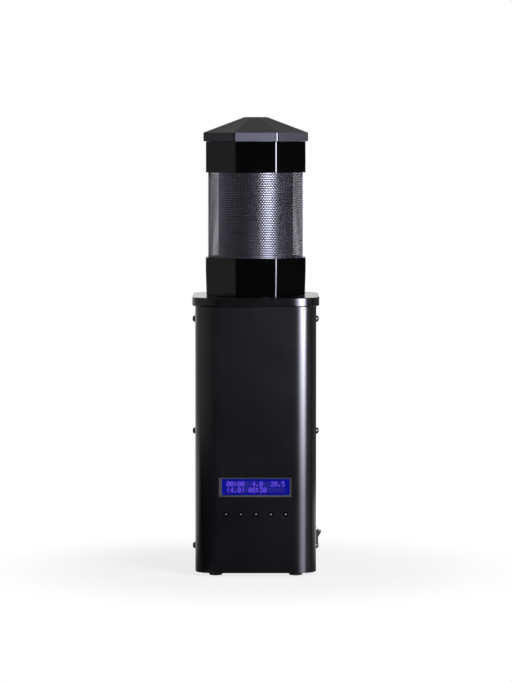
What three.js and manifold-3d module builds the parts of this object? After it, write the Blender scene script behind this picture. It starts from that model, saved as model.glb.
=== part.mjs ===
import * as THREE from "three";
import { mergeVertices } from "three/addons/utils/BufferGeometryUtils.js";
import Module from "manifold-3d";

// A benchtop hot-air coffee roaster: a tall sheet-metal body with the fan, heater and roast chamber
// stacked inside it, and an octagonal chaff collector with a mesh sleeve standing on its top plate.
// Millimetres, +Z up, front towards -Y, origin on the table under the middle of the feet.

// Driving dimensions of the whole roaster
const bodyWidth = 118;
const bodyDepth = 118;
const bodyHeight = 259.3;
const bodyCornerRadius = 19;
const sheet = 1.6; // thickness of the shells' sheet metal
const gap = 0.3; // clearance between two pieces that touch
const overrun = 2; // how far a cutting form runs past the face it cuts
const footHeight = 4;
const seamY = -8; // where the front shell's side walls end

// How finely round forms are faceted
const octagonSides = 8;
const roundFacets = 20;
const smallFacets = 8;
const cornerFacets = 5;
const slotFacets = 2;
const studFacets = 6;
const pivotFacets = 12;
const impellerFacets = 14;
const flatShare = Math.cos(Math.PI / roundFacets); // a faceted round's flats against its corners

const tray = { thickness: 2, earThickness: 2, earHeight: 31, earLength: 22 };
const intake = { fieldRadius: 29, slotWidth: 3, pitch: 6, middleRib: 5 };
const foot = { radius: 7, taper: 0.8, inset: 20, stemRadius: 2.2, headRadius: 3.1, headHeight: 1.6 };

const lap = { length: 26, nutRadius: 4, nutHeight: 3 }; // the rear shell's tongues inside the front shell
const screw = { headRadius: 3.25, headHeight: 2.7, shankRadius: 1.9, shankLength: 9, facets: 8 };
const screwPlace = { y: -22, fromBottom: 22.9, fromTop: 13.6, middleShare: 0.507 };
const vent = { count: 9, width: 3, length: 30, pitch: 8, fromTop: 42 };

const plate = { overhang: 3, thickness: 8.6, cornerRadius: 22, edge: 0.8, ledge: 3 };
const rim = { wall: 2.4, height: 4, lugThickness: 7, lugDepth: 20, lugLength: 18 };

const chamber = { innerRadius: 31, wall: 1.2, flangeWidth: 3.4, seatWidth: 4 };
const seal = { thickness: 1.6, width: 3.6 };
const airPlate = { thickness: 1.5, slotWidth: 2, outerSlots: 16, innerSlots: 8 };
const probe = { radius: 1.5, reach: 6, tail: 9, aboveSeat: 30, glandRadius: 4.4, glandLength: 5 };

const heater = { innerRadius: 27, wall: 1.4, height: 62, lipWidth: 2.5, lipHeight: 1.5, cradleHeight: 3 };
const former = { fins: 6, thickness: 1.4, finRadius: 21.5, earHeight: 5, notchDepth: 2.2, coreRadius: 3 };
const coil = { wireRadius: 1.1, turns: 5, stepsPerTurn: 12, wireFacets: 6 };

const duct = { barrelRadius: 34, wall: 1.8, barrelHeight: 34, coneHeight: 36, flangeRadius: 33 };
const ductTrim = { flangeThickness: 2, lipWidth: 3, lipThickness: 2, vanes: 5, vaneThickness: 1.6 };
const ductLeg = { height: 14, radius: 3, padRadius: 5, padThickness: 2 };
const motor = { radius: 13.5, length: 31, bossRadius: 4, bossLength: 2.5, boreDepth: 8, collarWall: 1.8 };
const shaft = { radius: 1.5 };
const impeller = { hubRadius: 12, hubHeight: 20, noseHeight: 4, tipClearance: 0.9, blades: 7, aboveInlet: 3 };
const nose = { tipShare: 0.62, shoulderShare: 0.9, shoulderHeightShare: 0.45 }; // the hub's rounded nose
const blade = { chord: 19, thickness: 1.2, camber: 1.6, rootPitch: 55, tipPitch: 30, root: 1 };

const display = { fromBottom: 83.9, apertureWidth: 71.3, apertureHeight: 19.2 };
const lit = { width: 65.7, height: 15.7 }; // the display's lit field
const bezel = { width: 75.5, height: 24.3, depth: 6.6, face: 0.8, wall: 1.2 };
const displayBoard = { width: 80, height: 36, thickness: 1.6, studInset: 2.5, studRadius: 2 };
const driverChip = { width: 22, height: 12, thickness: 2.2 };

const button = { count: 5, pitch: 14.5, fromBottom: 57.3, stemRadius: 1.55, holeRadius: 2.55, proud: 0.4 };
const buttonParts = { collarRadius: 3, collarThickness: 1, neck: 3.4, plungerDepth: 1.4, travel: 0.8 };
const tactSwitch = { width: 6, height: 6, depth: 3.8 };
const buttonBoard = { endMargin: 10, height: 12, thickness: 1.6, studInset: 3, studRadius: 2 };

const controlBoard = { width: 84, height: 88, thickness: 1.6, centreFromBottom: 148, standoff: 10 };
const boardStud = { radius: 2.5, inset: 5 };
const relay = { width: 19, height: 16, depth: 9, xShare: -0.28, zShare: 0.25 };
const transformer = { width: 24, height: 22, depth: 8, xShare: 0.27, zShare: 0.22 };
const capacitor = { radius: 4, length: 8, xShare: -0.28, zShare: -0.12 };
const terminals = { width: 50, height: 9, depth: 8, zShare: -0.38 };

const rocker = { y: 20, fromBottom: 27.1, faceLength: 6.4, tilt: 15, pivotDepth: 4, endDepth: 4 };
const rockerBody = { width: 8, hubHalf: 2.6, hubDepth: 1.6, stubRadius: 1.1, stubLength: 1, pivotIn: 0.8 };
const switchBezel = { thickness: 0.8, marginZ: 1.4, marginY: 1.5 };
const switchCase = { depth: 13, wall: 1.5, cavityBelowPivot: 3.4 };

const inlet = { x: -24, fromBottom: 34, cavityWidth: 24, cavityHeight: 16, cavityDepth: 16, wall: 1.6 };
const inletFlange = { marginX: 2, marginZ: 2.2, thickness: 2, back: 2.5 };
const inletPin = { width: 2, height: 4, length: 14, pitch: 7, earthRise: 3.4, lineDrop: 0.6 };

const cup = { topAcross: 97.7, bottomAcross: 96.3, height: 37.6, taperHeight: 24.5, floorThickness: 2.6 };
const riser = { radius: 25, wall: 2, height: 34, spigotRadius: 31 };
const sleeve = { radius: 46.75, wall: 0.9, exposed: 82.9, rebate: 8, ledge: 2.2 };
const cells = { columns: 20, rows: 4, bar: 1.6, margin: 3 };
const screen = { radius: 36.8, wall: 0.6, belowPlug: 2, seatWidth: 1.5, seatHeight: 2 }; // inside the sleeve
const ring = { across: 97.3, height: 30.1 };
const cap = { rimAcross: 102.1, rimHeight: 8.9, slopeHeight: 15, topAcross: 22.2, wall: 2.4 };
const capPlug = { depth: 9, slack: 0.5, wall: 2.2 };

// Places that follow from the sizes
const halfWidth = bodyWidth / 2;
const halfDepth = bodyDepth / 2;
const trayTop = footHeight + tray.thickness;
const plateBottom = footHeight + bodyHeight;
const plateTop = plateBottom + plate.thickness;
const shellTop = plateBottom - gap;
const tongueOut = halfWidth - sheet - gap;
const tongueIn = tongueOut - sheet;
const frameHalfWidth = tongueIn - gap; // tray ears and plate rim stand inside the tongues
const frameHalfDepth = halfDepth - sheet - gap;
const frameCornerRadius = bodyCornerRadius - sheet - gap;

const screwBottom = footHeight + screwPlace.fromBottom;
const screwTop = plateBottom - screwPlace.fromTop;
const screwMiddle = THREE.MathUtils.lerp(screwBottom, screwTop, screwPlace.middleShare);
const screwHeights = [screwBottom, screwMiddle, screwTop];

const ductBottom = trayTop + gap + ductLeg.height;
const ductHeight = duct.barrelHeight + duct.coneHeight;
const heaterBottom = ductBottom + ductHeight + gap;
const chamberBottom = heaterBottom + heater.height + gap;
const chamberFlange = plateBottom + plate.ledge + gap;
const chamberOuterRadius = chamber.innerRadius + chamber.wall;
const flangeRadius = chamberOuterRadius + chamber.flangeWidth;
const boreRadius = flangeRadius + gap;
const sealBottom = chamberFlange + chamber.wall + gap;
const spigotEnd = sealBottom + seal.thickness + gap;

const motorBottom = ductBottom + duct.barrelHeight;
const impellerBottom = ductBottom + impeller.aboveInlet;

const shellInside = -halfDepth + sheet; // inner face of the front wall
const displayHeight = footHeight + display.fromBottom;
const bezelFront = shellInside + gap;
const displayBoardFront = bezelFront + bezel.depth + gap;
const buttonHeight = footHeight + button.fromBottom;
const collarFront = shellInside + gap;
const collarBack = collarFront + buttonParts.collarThickness;
const switchFront = collarBack + buttonParts.neck;
const buttonBoardFront = switchFront + tactSwitch.depth;
const buttonBoardHalf = (button.pitch * (button.count - 1)) / 2 + buttonBoard.endMargin;
const controlBoardBack = halfDepth - sheet - controlBoard.standoff;
const controlHeight = footHeight + controlBoard.centreFromBottom;

const wasm = await Module();
wasm.setup();

// A closed geometry as a solid that can be joined and cut
function solid(geometry) {
  const loose = geometry.index ? geometry.toNonIndexed() : geometry;
  loose.deleteAttribute("normal");
  loose.deleteAttribute("uv");
  const merged = mergeVertices(loose);
  const vertProperties = merged.attributes.position.array;
  const corners = merged.index.array;
  const kept = [];
  for (let i = 0; i < corners.length; i += 3) {
    const [a, b, c] = corners.slice(i, i + 3);
    if (a !== b && b !== c && c !== a) kept.push(a, b, c);
  }
  const triVerts = new Uint32Array(kept);
  return new wasm.Manifold(new wasm.Mesh({ numProp: 3, vertProperties, triVerts }));
}

function join(...parts) {
  return parts.reduce((whole, part) => whole.add(part));
}

// A rectangular block between two opposite corners
function block(low, high) {
  const corner = new THREE.Vector3(...low);
  const size = new THREE.Vector3(...high).sub(corner);
  const middle = corner.addScaledVector(size, 0.5);
  const geometry = new THREE.BoxGeometry(size.x, size.y, size.z);
  return solid(geometry.translate(middle.x, middle.y, middle.z));
}

// A round bar from one point to another
function bar(from, to, radius, facets = smallFacets) {
  const start = new THREE.Vector3(...from);
  const end = new THREE.Vector3(...to);
  const run = end.clone().sub(start);
  const geometry = new THREE.CylinderGeometry(radius, radius, run.length(), facets);
  const turn = new THREE.Quaternion().setFromUnitVectors(new THREE.Vector3(0, 1, 0), run.normalize());
  const middle = start.lerp(end, 0.5);
  return solid(geometry.applyQuaternion(turn).translate(middle.x, middle.y, middle.z));
}

// A form turned about +Z from [radius, height] points, listed anticlockwise
function revolve(profile, facets = roundFacets) {
  const points = profile.map(([radius, height]) => new THREE.Vector2(radius, height));
  const geometry = new THREE.LatheGeometry(points, facets, Math.PI / facets);
  return solid(geometry.rotateX(Math.PI / 2));
}

function disc(radius, low, high, facets = roundFacets) {
  return revolve([[0, low], [radius, low], [radius, high], [0, high]], facets);
}

function tube(inner, outer, low, high, facets = roundFacets) {
  return revolve([[inner, low], [outer, low], [outer, high], [inner, high], [inner, low]], facets);
}

// An octagonal form with flats facing front and sides, its radii measured to the flats
function octagonal(profile) {
  const cornerRatio = 1 / Math.cos(Math.PI / octagonSides);
  return revolve(profile.map(([flat, height]) => [flat * cornerRatio, height]), octagonSides);
}

function outline(points) {
  return new THREE.Shape(points.map(([x, y]) => new THREE.Vector2(x, y)));
}

function roundedRectangle(halfX, halfY, radius, shape = new THREE.Shape()) {
  shape.moveTo(halfX, radius - halfY);
  shape.absarc(halfX - radius, halfY - radius, radius, 0, Math.PI / 2);
  shape.absarc(radius - halfX, halfY - radius, radius, Math.PI / 2, Math.PI);
  shape.absarc(radius - halfX, radius - halfY, radius, Math.PI, Math.PI * 1.5);
  shape.absarc(halfX - radius, radius - halfY, radius, Math.PI * 1.5, Math.PI * 2);
  return shape;
}

// A flat outline raised along +Z between two heights
function extrude(shape, low, high) {
  const settings = { depth: high - low, bevelEnabled: false, curveSegments: cornerFacets };
  return solid(new THREE.ExtrudeGeometry(shape, settings).translate(0, 0, low));
}

// A flat outline in X and Z, raised along Y from front to back
function extrudeBack(shape, front, back) {
  const settings = { depth: back - front, bevelEnabled: false, curveSegments: slotFacets };
  return solid(new THREE.ExtrudeGeometry(shape, settings).rotateX(Math.PI / 2).translate(0, back, 0));
}

function piece(name, part, { color, roughness, metalness }) {
  const { vertProperties, triVerts } = part.getMesh();
  const shared = new THREE.BufferGeometry();
  shared.setAttribute("position", new THREE.BufferAttribute(new Float32Array(vertProperties), 3));
  shared.setIndex(new THREE.BufferAttribute(new Uint32Array(triVerts), 1));
  const geometry = shared.toNonIndexed();
  geometry.computeVertexNormals();
  const mesh = new THREE.Mesh(geometry, new THREE.MeshStandardMaterial({ color, roughness, metalness }));
  mesh.name = name;
  return mesh;
}

const finishes = {
  blackPaint: { color: 0x18181b, roughness: 0.35, metalness: 0.1 },
  blackPlastic: { color: 0x0e0e10, roughness: 0.3, metalness: 0 },
  greyPlastic: { color: 0x4a4a4e, roughness: 0.5, metalness: 0 },
  whitePlastic: { color: 0xd9d9d6, roughness: 0.5, metalness: 0 },
  steel: { color: 0xb4b6ba, roughness: 0.3, metalness: 1 },
  darkSteel: { color: 0x3a3a3d, roughness: 0.35, metalness: 1 },
  wire: { color: 0x8f6a4a, roughness: 0.4, metalness: 1 },
  mica: { color: 0xa89a82, roughness: 0.6, metalness: 0 },
  brass: { color: 0xb59a55, roughness: 0.35, metalness: 1 },
  rubber: { color: 0x151515, roughness: 0.9, metalness: 0 },
  silicone: { color: 0x8c3b2e, roughness: 0.7, metalness: 0 },
  circuitBoard: { color: 0x1e4f33, roughness: 0.5, metalness: 0 },
  litPanel: { color: 0x0a10c8, roughness: 0.1, metalness: 0 },
};

// Base tray: floor with a round field of intake slots, and an ear each side for the lowest screws
function baseTray() {
  const floorShape = roundedRectangle(halfWidth - sheet - gap, frameHalfDepth, frameCornerRadius);
  let part = extrude(floorShape, 0, tray.thickness);
  const rows = Math.floor((intake.fieldRadius - intake.slotWidth) / intake.pitch);
  for (let row = -rows; row <= rows; row++) {
    const low = row * intake.pitch - intake.slotWidth / 2;
    const high = low + intake.slotWidth;
    const reach = Math.sqrt(intake.fieldRadius ** 2 - Math.max(low ** 2, high ** 2));
    const rib = intake.middleRib / 2;
    part = part.subtract(block([rib, low, -overrun], [reach, high, tray.thickness + overrun]));
    part = part.subtract(block([-reach, low, -overrun], [-rib, high, tray.thickness + overrun]));
  }
  for (const side of [-1, 1]) {
    const xs = [side * (frameHalfWidth - tray.earThickness), side * frameHalfWidth].sort((a, b) => a - b);
    const near = screwPlace.y - tray.earLength / 2;
    part = part.add(block([xs[0], near, 0], [xs[1], near + tray.earLength, tray.earHeight]));
  }
  const hole = bar(
    [-halfWidth, screwPlace.y, screwPlace.fromBottom],
    [halfWidth, screwPlace.y, screwPlace.fromBottom],
    screw.shankRadius + gap,
  );
  part = part.subtract(hole);
  for (const [x, y] of footPlaces()) {
    part = part.subtract(bar([x, y, -overrun], [x, y, tray.thickness + overrun], foot.stemRadius + gap));
  }
  return part;
}

function footPlaces() {
  const x = halfWidth - foot.inset;
  const y = halfDepth - foot.inset;
  return [[-x, -y], [x, -y], [-x, y], [x, y]];
}

// Rubber foot: a pad under the tray, held by a stem with a head above the tray's floor
function rubberFoot() {
  const headLow = tray.thickness + gap;
  return revolve(
    [
      [0, -footHeight],
      [foot.radius - foot.taper, -footHeight],
      [foot.radius, -gap],
      [foot.stemRadius, -gap],
      [foot.stemRadius, headLow],
      [foot.headRadius, headLow],
      [foot.stemRadius, headLow + foot.headHeight],
      [0, headLow + foot.headHeight],
    ],
    smallFacets,
  );
}

// A bent sheet wall with rounded corners and two legs: its closed side faces -Y
function bentSheet(legEnd) {
  const shape = new THREE.Shape();
  const cornerX = halfWidth - bodyCornerRadius;
  const cornerY = bodyCornerRadius - halfDepth;
  const inner = bodyCornerRadius - sheet;
  shape.moveTo(halfWidth, legEnd);
  shape.lineTo(halfWidth - sheet, legEnd);
  shape.absarc(cornerX, cornerY, inner, 0, -Math.PI / 2, true);
  shape.absarc(-cornerX, cornerY, inner, -Math.PI / 2, -Math.PI, true);
  shape.lineTo(sheet - halfWidth, legEnd);
  shape.lineTo(-halfWidth, legEnd);
  shape.absarc(-cornerX, cornerY, bodyCornerRadius, Math.PI, Math.PI * 1.5);
  shape.absarc(cornerX, cornerY, bodyCornerRadius, -Math.PI / 2, 0);
  return shape;
}

function sideHoles(radius) {
  const holes = screwHeights.map((z) =>
    bar([-halfWidth - overrun, screwPlace.y, z], [halfWidth + overrun, screwPlace.y, z], radius),
  );
  return join(...holes);
}

function buttonXs() {
  const middle = (button.count - 1) / 2;
  return Array.from({ length: button.count }, (_, i) => (i - middle) * button.pitch);
}

// Front shell: display window, button holes, screw holes, and the studs that carry the two boards
function frontShell() {
  let part = extrude(bentSheet(seamY), footHeight, shellTop);
  const before = -halfDepth - overrun;
  const behind = shellInside + overrun;
  const studX = displayBoard.width / 2 - displayBoard.studInset;
  const studZ = displayBoard.height / 2 - displayBoard.studInset;
  const root = -halfDepth + sheet / 2;
  for (const x of [-studX, studX]) {
    for (const z of [displayHeight - studZ, displayHeight + studZ]) {
      const tip = [x, displayBoardFront - gap, z];
      part = part.add(bar([x, root, z], tip, displayBoard.studRadius, studFacets));
    }
    const end = Math.sign(x) * (buttonBoardHalf - buttonBoard.studInset);
    const stud = bar([end, root, buttonHeight], [end, buttonBoardFront - gap, buttonHeight],
      buttonBoard.studRadius, studFacets);
    part = part.add(stud);
  }
  const halfW = display.apertureWidth / 2;
  const halfH = display.apertureHeight / 2;
  const windowLow = [-halfW, before, displayHeight - halfH];
  part = part.subtract(block(windowLow, [halfW, behind, displayHeight + halfH]));
  for (const x of buttonXs()) {
    part = part.subtract(bar([x, before, buttonHeight], [x, behind, buttonHeight], button.holeRadius));
  }
  return part.subtract(sideHoles(screw.shankRadius + gap));
}

// Rear shell: joggled tongues reach forward inside the front shell; vents, inlet and switch cut-outs
function rearShell() {
  const legStart = seamY + gap;
  const section = bentSheet(-legStart).getPoints(cornerFacets).map(({ x, y }) => [x, -y]);
  let part = extrude(outline(section), footHeight, shellTop);
  const tongue = [
    [tongueIn, seamY - lap.length],
    [tongueOut, seamY - lap.length],
    [tongueOut, legStart],
    [halfWidth, legStart],
    [halfWidth, legStart + sheet],
    [tongueIn, legStart + sheet],
  ];
  for (const side of [-1, 1]) {
    const shape = outline(tongue.map(([x, y]) => [side * x, y]));
    part = part.add(extrude(shape, trayTop + gap, shellTop));
    const nutFrom = [side * (tongueIn - lap.nutHeight), screwPlace.y, screwMiddle];
    part = part.add(bar(nutFrom, [side * (tongueIn + sheet / 2), screwPlace.y, screwMiddle], lap.nutRadius));
  }
  const wallIn = halfDepth - sheet;
  const studX = controlBoard.width / 2 - boardStud.inset;
  const studZ = controlBoard.height / 2 - boardStud.inset;
  for (const x of [-studX, studX]) {
    for (const z of [controlHeight - studZ, controlHeight + studZ]) {
      const root = [x, wallIn + sheet / 2, z];
      part = part.add(bar([x, controlBoardBack + gap, z], root, boardStud.radius, studFacets));
    }
  }
  part = part.subtract(sideHoles(screw.shankRadius + gap));
  for (let i = 0; i < vent.count; i++) {
    const slot = roundedRectangle(vent.width / 2, vent.length / 2, vent.width / 2);
    const x = (i - (vent.count - 1) / 2) * vent.pitch;
    const cut = extrudeBack(slot, wallIn - overrun, halfDepth + overrun);
    part = part.subtract(cut.translate([x, 0, plateBottom - vent.fromTop]));
  }
  const [caseY, caseZ] = switchCaseHalves();
  const switchZ = footHeight + rocker.fromBottom;
  const switchCut = block(
    [halfWidth - sheet - overrun, rocker.y - caseY - gap, switchZ - caseZ - gap],
    [halfWidth + overrun, rocker.y + caseY + gap, switchZ + caseZ + gap],
  );
  const [inletX, inletZ] = inletHalves();
  const inletHeight = footHeight + inlet.fromBottom;
  const inletCut = block(
    [inlet.x - inletX - gap, wallIn - overrun, inletHeight - inletZ - gap],
    [inlet.x + inletX + gap, halfDepth + overrun, inletHeight + inletZ + gap],
  );
  return part.subtract(switchCut).subtract(inletCut);
}

// Domed screw: local z = 0 is the sheet's outer face, and the head stands out along +z
function domedScrew() {
  const steps = 3;
  const dome = Array.from({ length: steps + 1 }, (_, i) => {
    const angle = (i / steps) * (Math.PI / 2);
    return [screw.headRadius * Math.cos(angle), gap + screw.headHeight * Math.sin(angle)];
  });
  dome[steps][0] = 0;
  const shank = [[0, -screw.shankLength], [screw.shankRadius, -screw.shankLength], [screw.shankRadius, gap]];
  return revolve([...shank, ...dome], screw.facets);
}

// Top plate: thick plate with softened edges, a stepped bore for the chamber, and a rim with two lugs
function topPlate() {
  const half = halfWidth + plate.overhang - plate.edge;
  const halfY = halfDepth + plate.overhang - plate.edge;
  const shape = roundedRectangle(half, halfY, plate.cornerRadius - plate.edge);
  const slab = new THREE.ExtrudeGeometry(shape, {
    depth: plate.thickness - plate.edge * 2,
    bevelThickness: plate.edge,
    bevelSize: plate.edge,
    bevelSegments: 1,
    curveSegments: cornerFacets,
  });
  let part = solid(slab.translate(0, 0, plate.edge));
  const rimShape = roundedRectangle(frameHalfWidth, frameHalfDepth, frameCornerRadius);
  const rimHole = roundedRectangle(
    frameHalfWidth - rim.wall,
    frameHalfDepth - rim.wall,
    frameCornerRadius - rim.wall,
    new THREE.Path(),
  );
  rimShape.holes.push(rimHole);
  part = part.add(extrude(rimShape, -rim.height, plate.thickness / 2));
  const lugNear = screwPlace.y - rim.lugLength / 2;
  for (const side of [-1, 1]) {
    const xs = [side * (frameHalfWidth - rim.lugThickness), side * frameHalfWidth].sort((a, b) => a - b);
    const lug = block([xs[0], lugNear, -rim.lugDepth], [xs[1], lugNear + rim.lugLength, plate.thickness / 2]);
    const inner = side * (frameHalfWidth - rim.lugThickness - overrun);
    const z = -screwPlace.fromTop;
    const hole = bar([inner, screwPlace.y, z], [side * halfWidth, screwPlace.y, z], screw.shankRadius + gap);
    part = part.add(lug).subtract(hole);
  }
  part = part.subtract(disc(boreRadius, plate.ledge, plate.thickness + overrun));
  return part.subtract(disc(chamberOuterRadius + gap, -overrun, plate.thickness));
}

// Roast chamber: drawn steel tube, hung by its flange, with a seat for the air plate at the bottom
function roastChamber() {
  const { innerRadius, wall, seatWidth } = chamber;
  const depth = chamberFlange - chamberBottom;
  const part = revolve([
    [innerRadius - seatWidth, 0],
    [chamberOuterRadius, 0],
    [chamberOuterRadius, depth],
    [flangeRadius, depth],
    [flangeRadius, depth + wall],
    [innerRadius, depth + wall],
    [innerRadius, wall],
    [innerRadius - seatWidth, wall],
    [innerRadius - seatWidth, 0],
  ]);
  const z = probe.aboveSeat;
  const hole = bar([0, 0, z], [chamberOuterRadius + overrun, 0, z], probe.radius + gap);
  return part.subtract(hole);
}

// Air plate: a disc with two rings of radial slots that set the beans moving
function slottedAirPlate() {
  const radius = chamber.innerRadius - gap;
  let part = disc(radius, 0, airPlate.thickness);
  const rings = [
    { count: airPlate.outerSlots, fromShare: 0.6, toShare: 0.84 },
    { count: airPlate.innerSlots, fromShare: 0.24, toShare: 0.5 },
  ];
  for (const { count, fromShare, toShare } of rings) {
    const half = airPlate.slotWidth / 2;
    const top = airPlate.thickness + overrun;
    const slot = block([fromShare * radius, -half, -overrun], [toShare * radius, half, top]);
    for (let i = 0; i < count; i++) {
      part = part.subtract(slot.rotate([0, 0, (i / count) * 360]));
    }
  }
  return part;
}

// Temperature probe: a sheathed rod through the chamber wall, held by a hexagonal gland outside it
function temperatureProbe() {
  const outside = chamberOuterRadius + gap;
  const glandEnd = outside + probe.glandLength;
  const rod = bar([chamber.innerRadius - probe.reach, 0, 0], [glandEnd + probe.tail, 0, 0], probe.radius);
  return rod.add(bar([outside, 0, 0], [glandEnd, 0, 0], probe.glandRadius, 6));
}

// Heater housing: a tube with an inner lip for the former and a cradle round the chamber's bottom
function heaterHousing() {
  const { innerRadius, wall, height, lipWidth, lipHeight, cradleHeight } = heater;
  const outer = innerRadius + wall;
  const cradle = chamberOuterRadius + gap;
  return revolve([
    [innerRadius - lipWidth, 0],
    [duct.flangeRadius, 0],
    [duct.flangeRadius, lipHeight],
    [outer, lipHeight],
    [outer, height - wall],
    [cradle + wall, height - wall],
    [cradle + wall, height + cradleHeight],
    [cradle, height + cradleHeight],
    [cradle, height],
    [innerRadius, height],
    [innerRadius, lipHeight],
    [innerRadius - lipWidth, lipHeight],
    [innerRadius - lipWidth, 0],
  ], roundFacets);
}

const formerHeight = heater.height - heater.lipHeight - gap * 2;
const coilRadius = former.finRadius - former.notchDepth + coil.wireRadius + gap;
const coilPitch = (formerHeight - former.earHeight * 2) / (coil.turns + 1);
const coilBottom = former.earHeight + coilPitch / 2;

// Mica former: crossed fins whose notches carry the coil, wider at both ends to meet the housing
function heaterFormer() {
  const reach = heater.innerRadius * flatShare - gap;
  const half = coil.wireRadius + gap;
  const { finRadius, notchDepth, earHeight } = former;
  let part = disc(former.coreRadius, 0, formerHeight, smallFacets);
  for (let i = 0; i < former.fins; i++) {
    const turnShare = i / former.fins;
    const points = [[0, 0], [reach, 0], [reach, earHeight], [finRadius, earHeight]];
    for (let turn = 0; turn <= coil.turns; turn++) {
      const along = turn + turnShare;
      if (along > coil.turns) continue;
      const z = coilBottom + along * coilPitch;
      points.push([finRadius, z - half], [finRadius - notchDepth, z - half]);
      points.push([finRadius - notchDepth, z + half], [finRadius, z + half]);
    }
    const top = formerHeight - earHeight;
    points.push([finRadius, top], [reach, top], [reach, formerHeight], [0, formerHeight]);
    const fin = extrudeBack(outline(points), -former.thickness / 2, former.thickness / 2);
    part = part.add(fin.rotate([0, 0, turnShare * 360]));
  }
  return part;
}

// Heating coil: one unbroken round wire wound in the former's notches
class Helix extends THREE.Curve {
  getPoint(t, target = new THREE.Vector3()) {
    const angle = t * coil.turns * Math.PI * 2;
    const z = coilBottom + t * coil.turns * coilPitch;
    return target.set(coilRadius * Math.cos(angle), coilRadius * Math.sin(angle), z);
  }
}

function heaterCoil() {
  const shape = new THREE.Shape().absarc(0, 0, coil.wireRadius, 0, Math.PI * 2);
  const settings = {
    steps: coil.turns * coil.stepsPerTurn,
    extrudePath: new Helix(),
    curveSegments: coil.wireFacets / 2,
    bevelEnabled: false,
  };
  return solid(new THREE.ExtrudeGeometry(shape, settings));
}

// Fan duct: inlet lip, barrel round the impeller, cone to the heater, guide vanes and a motor collar
function fanDuct() {
  const { barrelRadius, wall, barrelHeight, flangeRadius: topRadius } = duct;
  const { flangeThickness, lipWidth, lipThickness, vanes, vaneThickness } = ductTrim;
  const outerWall = [
    [barrelRadius + wall + lipWidth, 0],
    [barrelRadius + wall + lipWidth, lipThickness],
    [barrelRadius + wall, lipThickness],
    [barrelRadius + wall, barrelHeight],
    [heater.innerRadius + wall, ductHeight - flangeThickness],
    [topRadius, ductHeight - flangeThickness],
    [topRadius, ductHeight],
  ];
  const innerWall = [[heater.innerRadius, ductHeight], [barrelRadius, barrelHeight], [barrelRadius, 0]];
  const shell = revolve([...innerWall.slice(2), ...outerWall, ...innerWall], roundFacets);
  const filled = revolve([[0, 0], ...outerWall, [0, ductHeight]], roundFacets);
  const collarInner = motor.radius + gap;
  const collarOuter = collarInner + motor.collarWall;
  const collarLow = barrelHeight + motor.bossLength + gap;
  const collarHigh = collarLow + motor.length / 2;
  let spider = tube(collarInner, collarOuter, collarLow, collarHigh, roundFacets);
  const lip = tube(motor.bossRadius + gap, collarOuter, collarLow - motor.collarWall, collarLow, roundFacets);
  spider = spider.add(lip);
  for (let i = 0; i < vanes; i++) {
    const vane = block(
      [collarInner + motor.collarWall / 2, -vaneThickness / 2, collarLow],
      [barrelRadius + wall, vaneThickness / 2, collarHigh],
    );
    spider = spider.add(vane.rotate([0, 0, (i / vanes) * 360]));
  }
  let part = shell.add(spider.intersect(filled));
  const legDistance = (barrelRadius + wall + ductLeg.radius / 2) * Math.SQRT1_2;
  for (const x of [-legDistance, legDistance]) {
    for (const y of [-legDistance, legDistance]) {
      const legEnd = [x, y, -ductLeg.height];
      part = part.add(bar(legEnd, [x, y, barrelHeight / 2], ductLeg.radius));
      part = part.add(bar(legEnd, [x, y, ductLeg.padThickness - ductLeg.height], ductLeg.padRadius));
    }
  }
  return part;
}

// Fan motor: a round can with a bearing boss, bored for the shaft
function fanMotor() {
  const { radius, length, bossRadius, bossLength, boreDepth } = motor;
  const bore = shaft.radius + gap;
  return revolve(
    [
      [bore, -bossLength],
      [bossRadius, -bossLength],
      [bossRadius, 0],
      [radius, 0],
      [radius, length],
      [0, length],
      [0, boreDepth],
      [bore, boreDepth],
      [bore, -bossLength],
    ],
    roundFacets,
  );
}

// One impeller blade: a cambered plate whose pitch eases from root to tip
function impellerBlade() {
  const tip = duct.barrelRadius - impeller.tipClearance;
  const root = impeller.hubRadius - blade.root;
  const geometry = new THREE.BoxGeometry(1, 1, 1, 3, 4, 1);
  const corners = geometry.attributes.position;
  for (let i = 0; i < corners.count; i++) {
    const spanShare = corners.getX(i) + 0.5;
    const chordShare = corners.getY(i);
    const radius = THREE.MathUtils.lerp(root, tip, spanShare);
    const pitch = THREE.MathUtils.degToRad(THREE.MathUtils.lerp(blade.rootPitch, blade.tipPitch, spanShare));
    const along = chordShare * blade.chord;
    const off = corners.getZ(i) * blade.thickness + blade.camber * (1 - (2 * chordShare) ** 2);
    const angle = (along * Math.cos(pitch) - off * Math.sin(pitch)) / radius;
    const z = along * Math.sin(pitch) + off * Math.cos(pitch);
    corners.setXYZ(i, radius * Math.cos(angle), radius * Math.sin(angle), z);
  }
  return solid(geometry);
}

// Fan impeller: a hub with a rounded nose, bored for the shaft, and seven twisted blades
function fanImpeller() {
  const { hubRadius, hubHeight, noseHeight, blades } = impeller;
  const bore = shaft.radius + gap;
  let part = revolve(
    [
      [0, 0],
      [hubRadius * nose.tipShare, 0],
      [hubRadius * nose.shoulderShare, noseHeight * nose.shoulderHeightShare],
      [hubRadius, noseHeight],
      [hubRadius, hubHeight],
      [0, hubHeight],
    ],
    impellerFacets,
  );
  const one = impellerBlade();
  for (let i = 0; i < blades; i++) {
    part = part.add(one.translate([0, 0, (hubHeight + noseHeight) / 2]).rotate([0, 0, (i / blades) * 360]));
  }
  return part.subtract(disc(bore, noseHeight, hubHeight + overrun, smallFacets));
}

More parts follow.
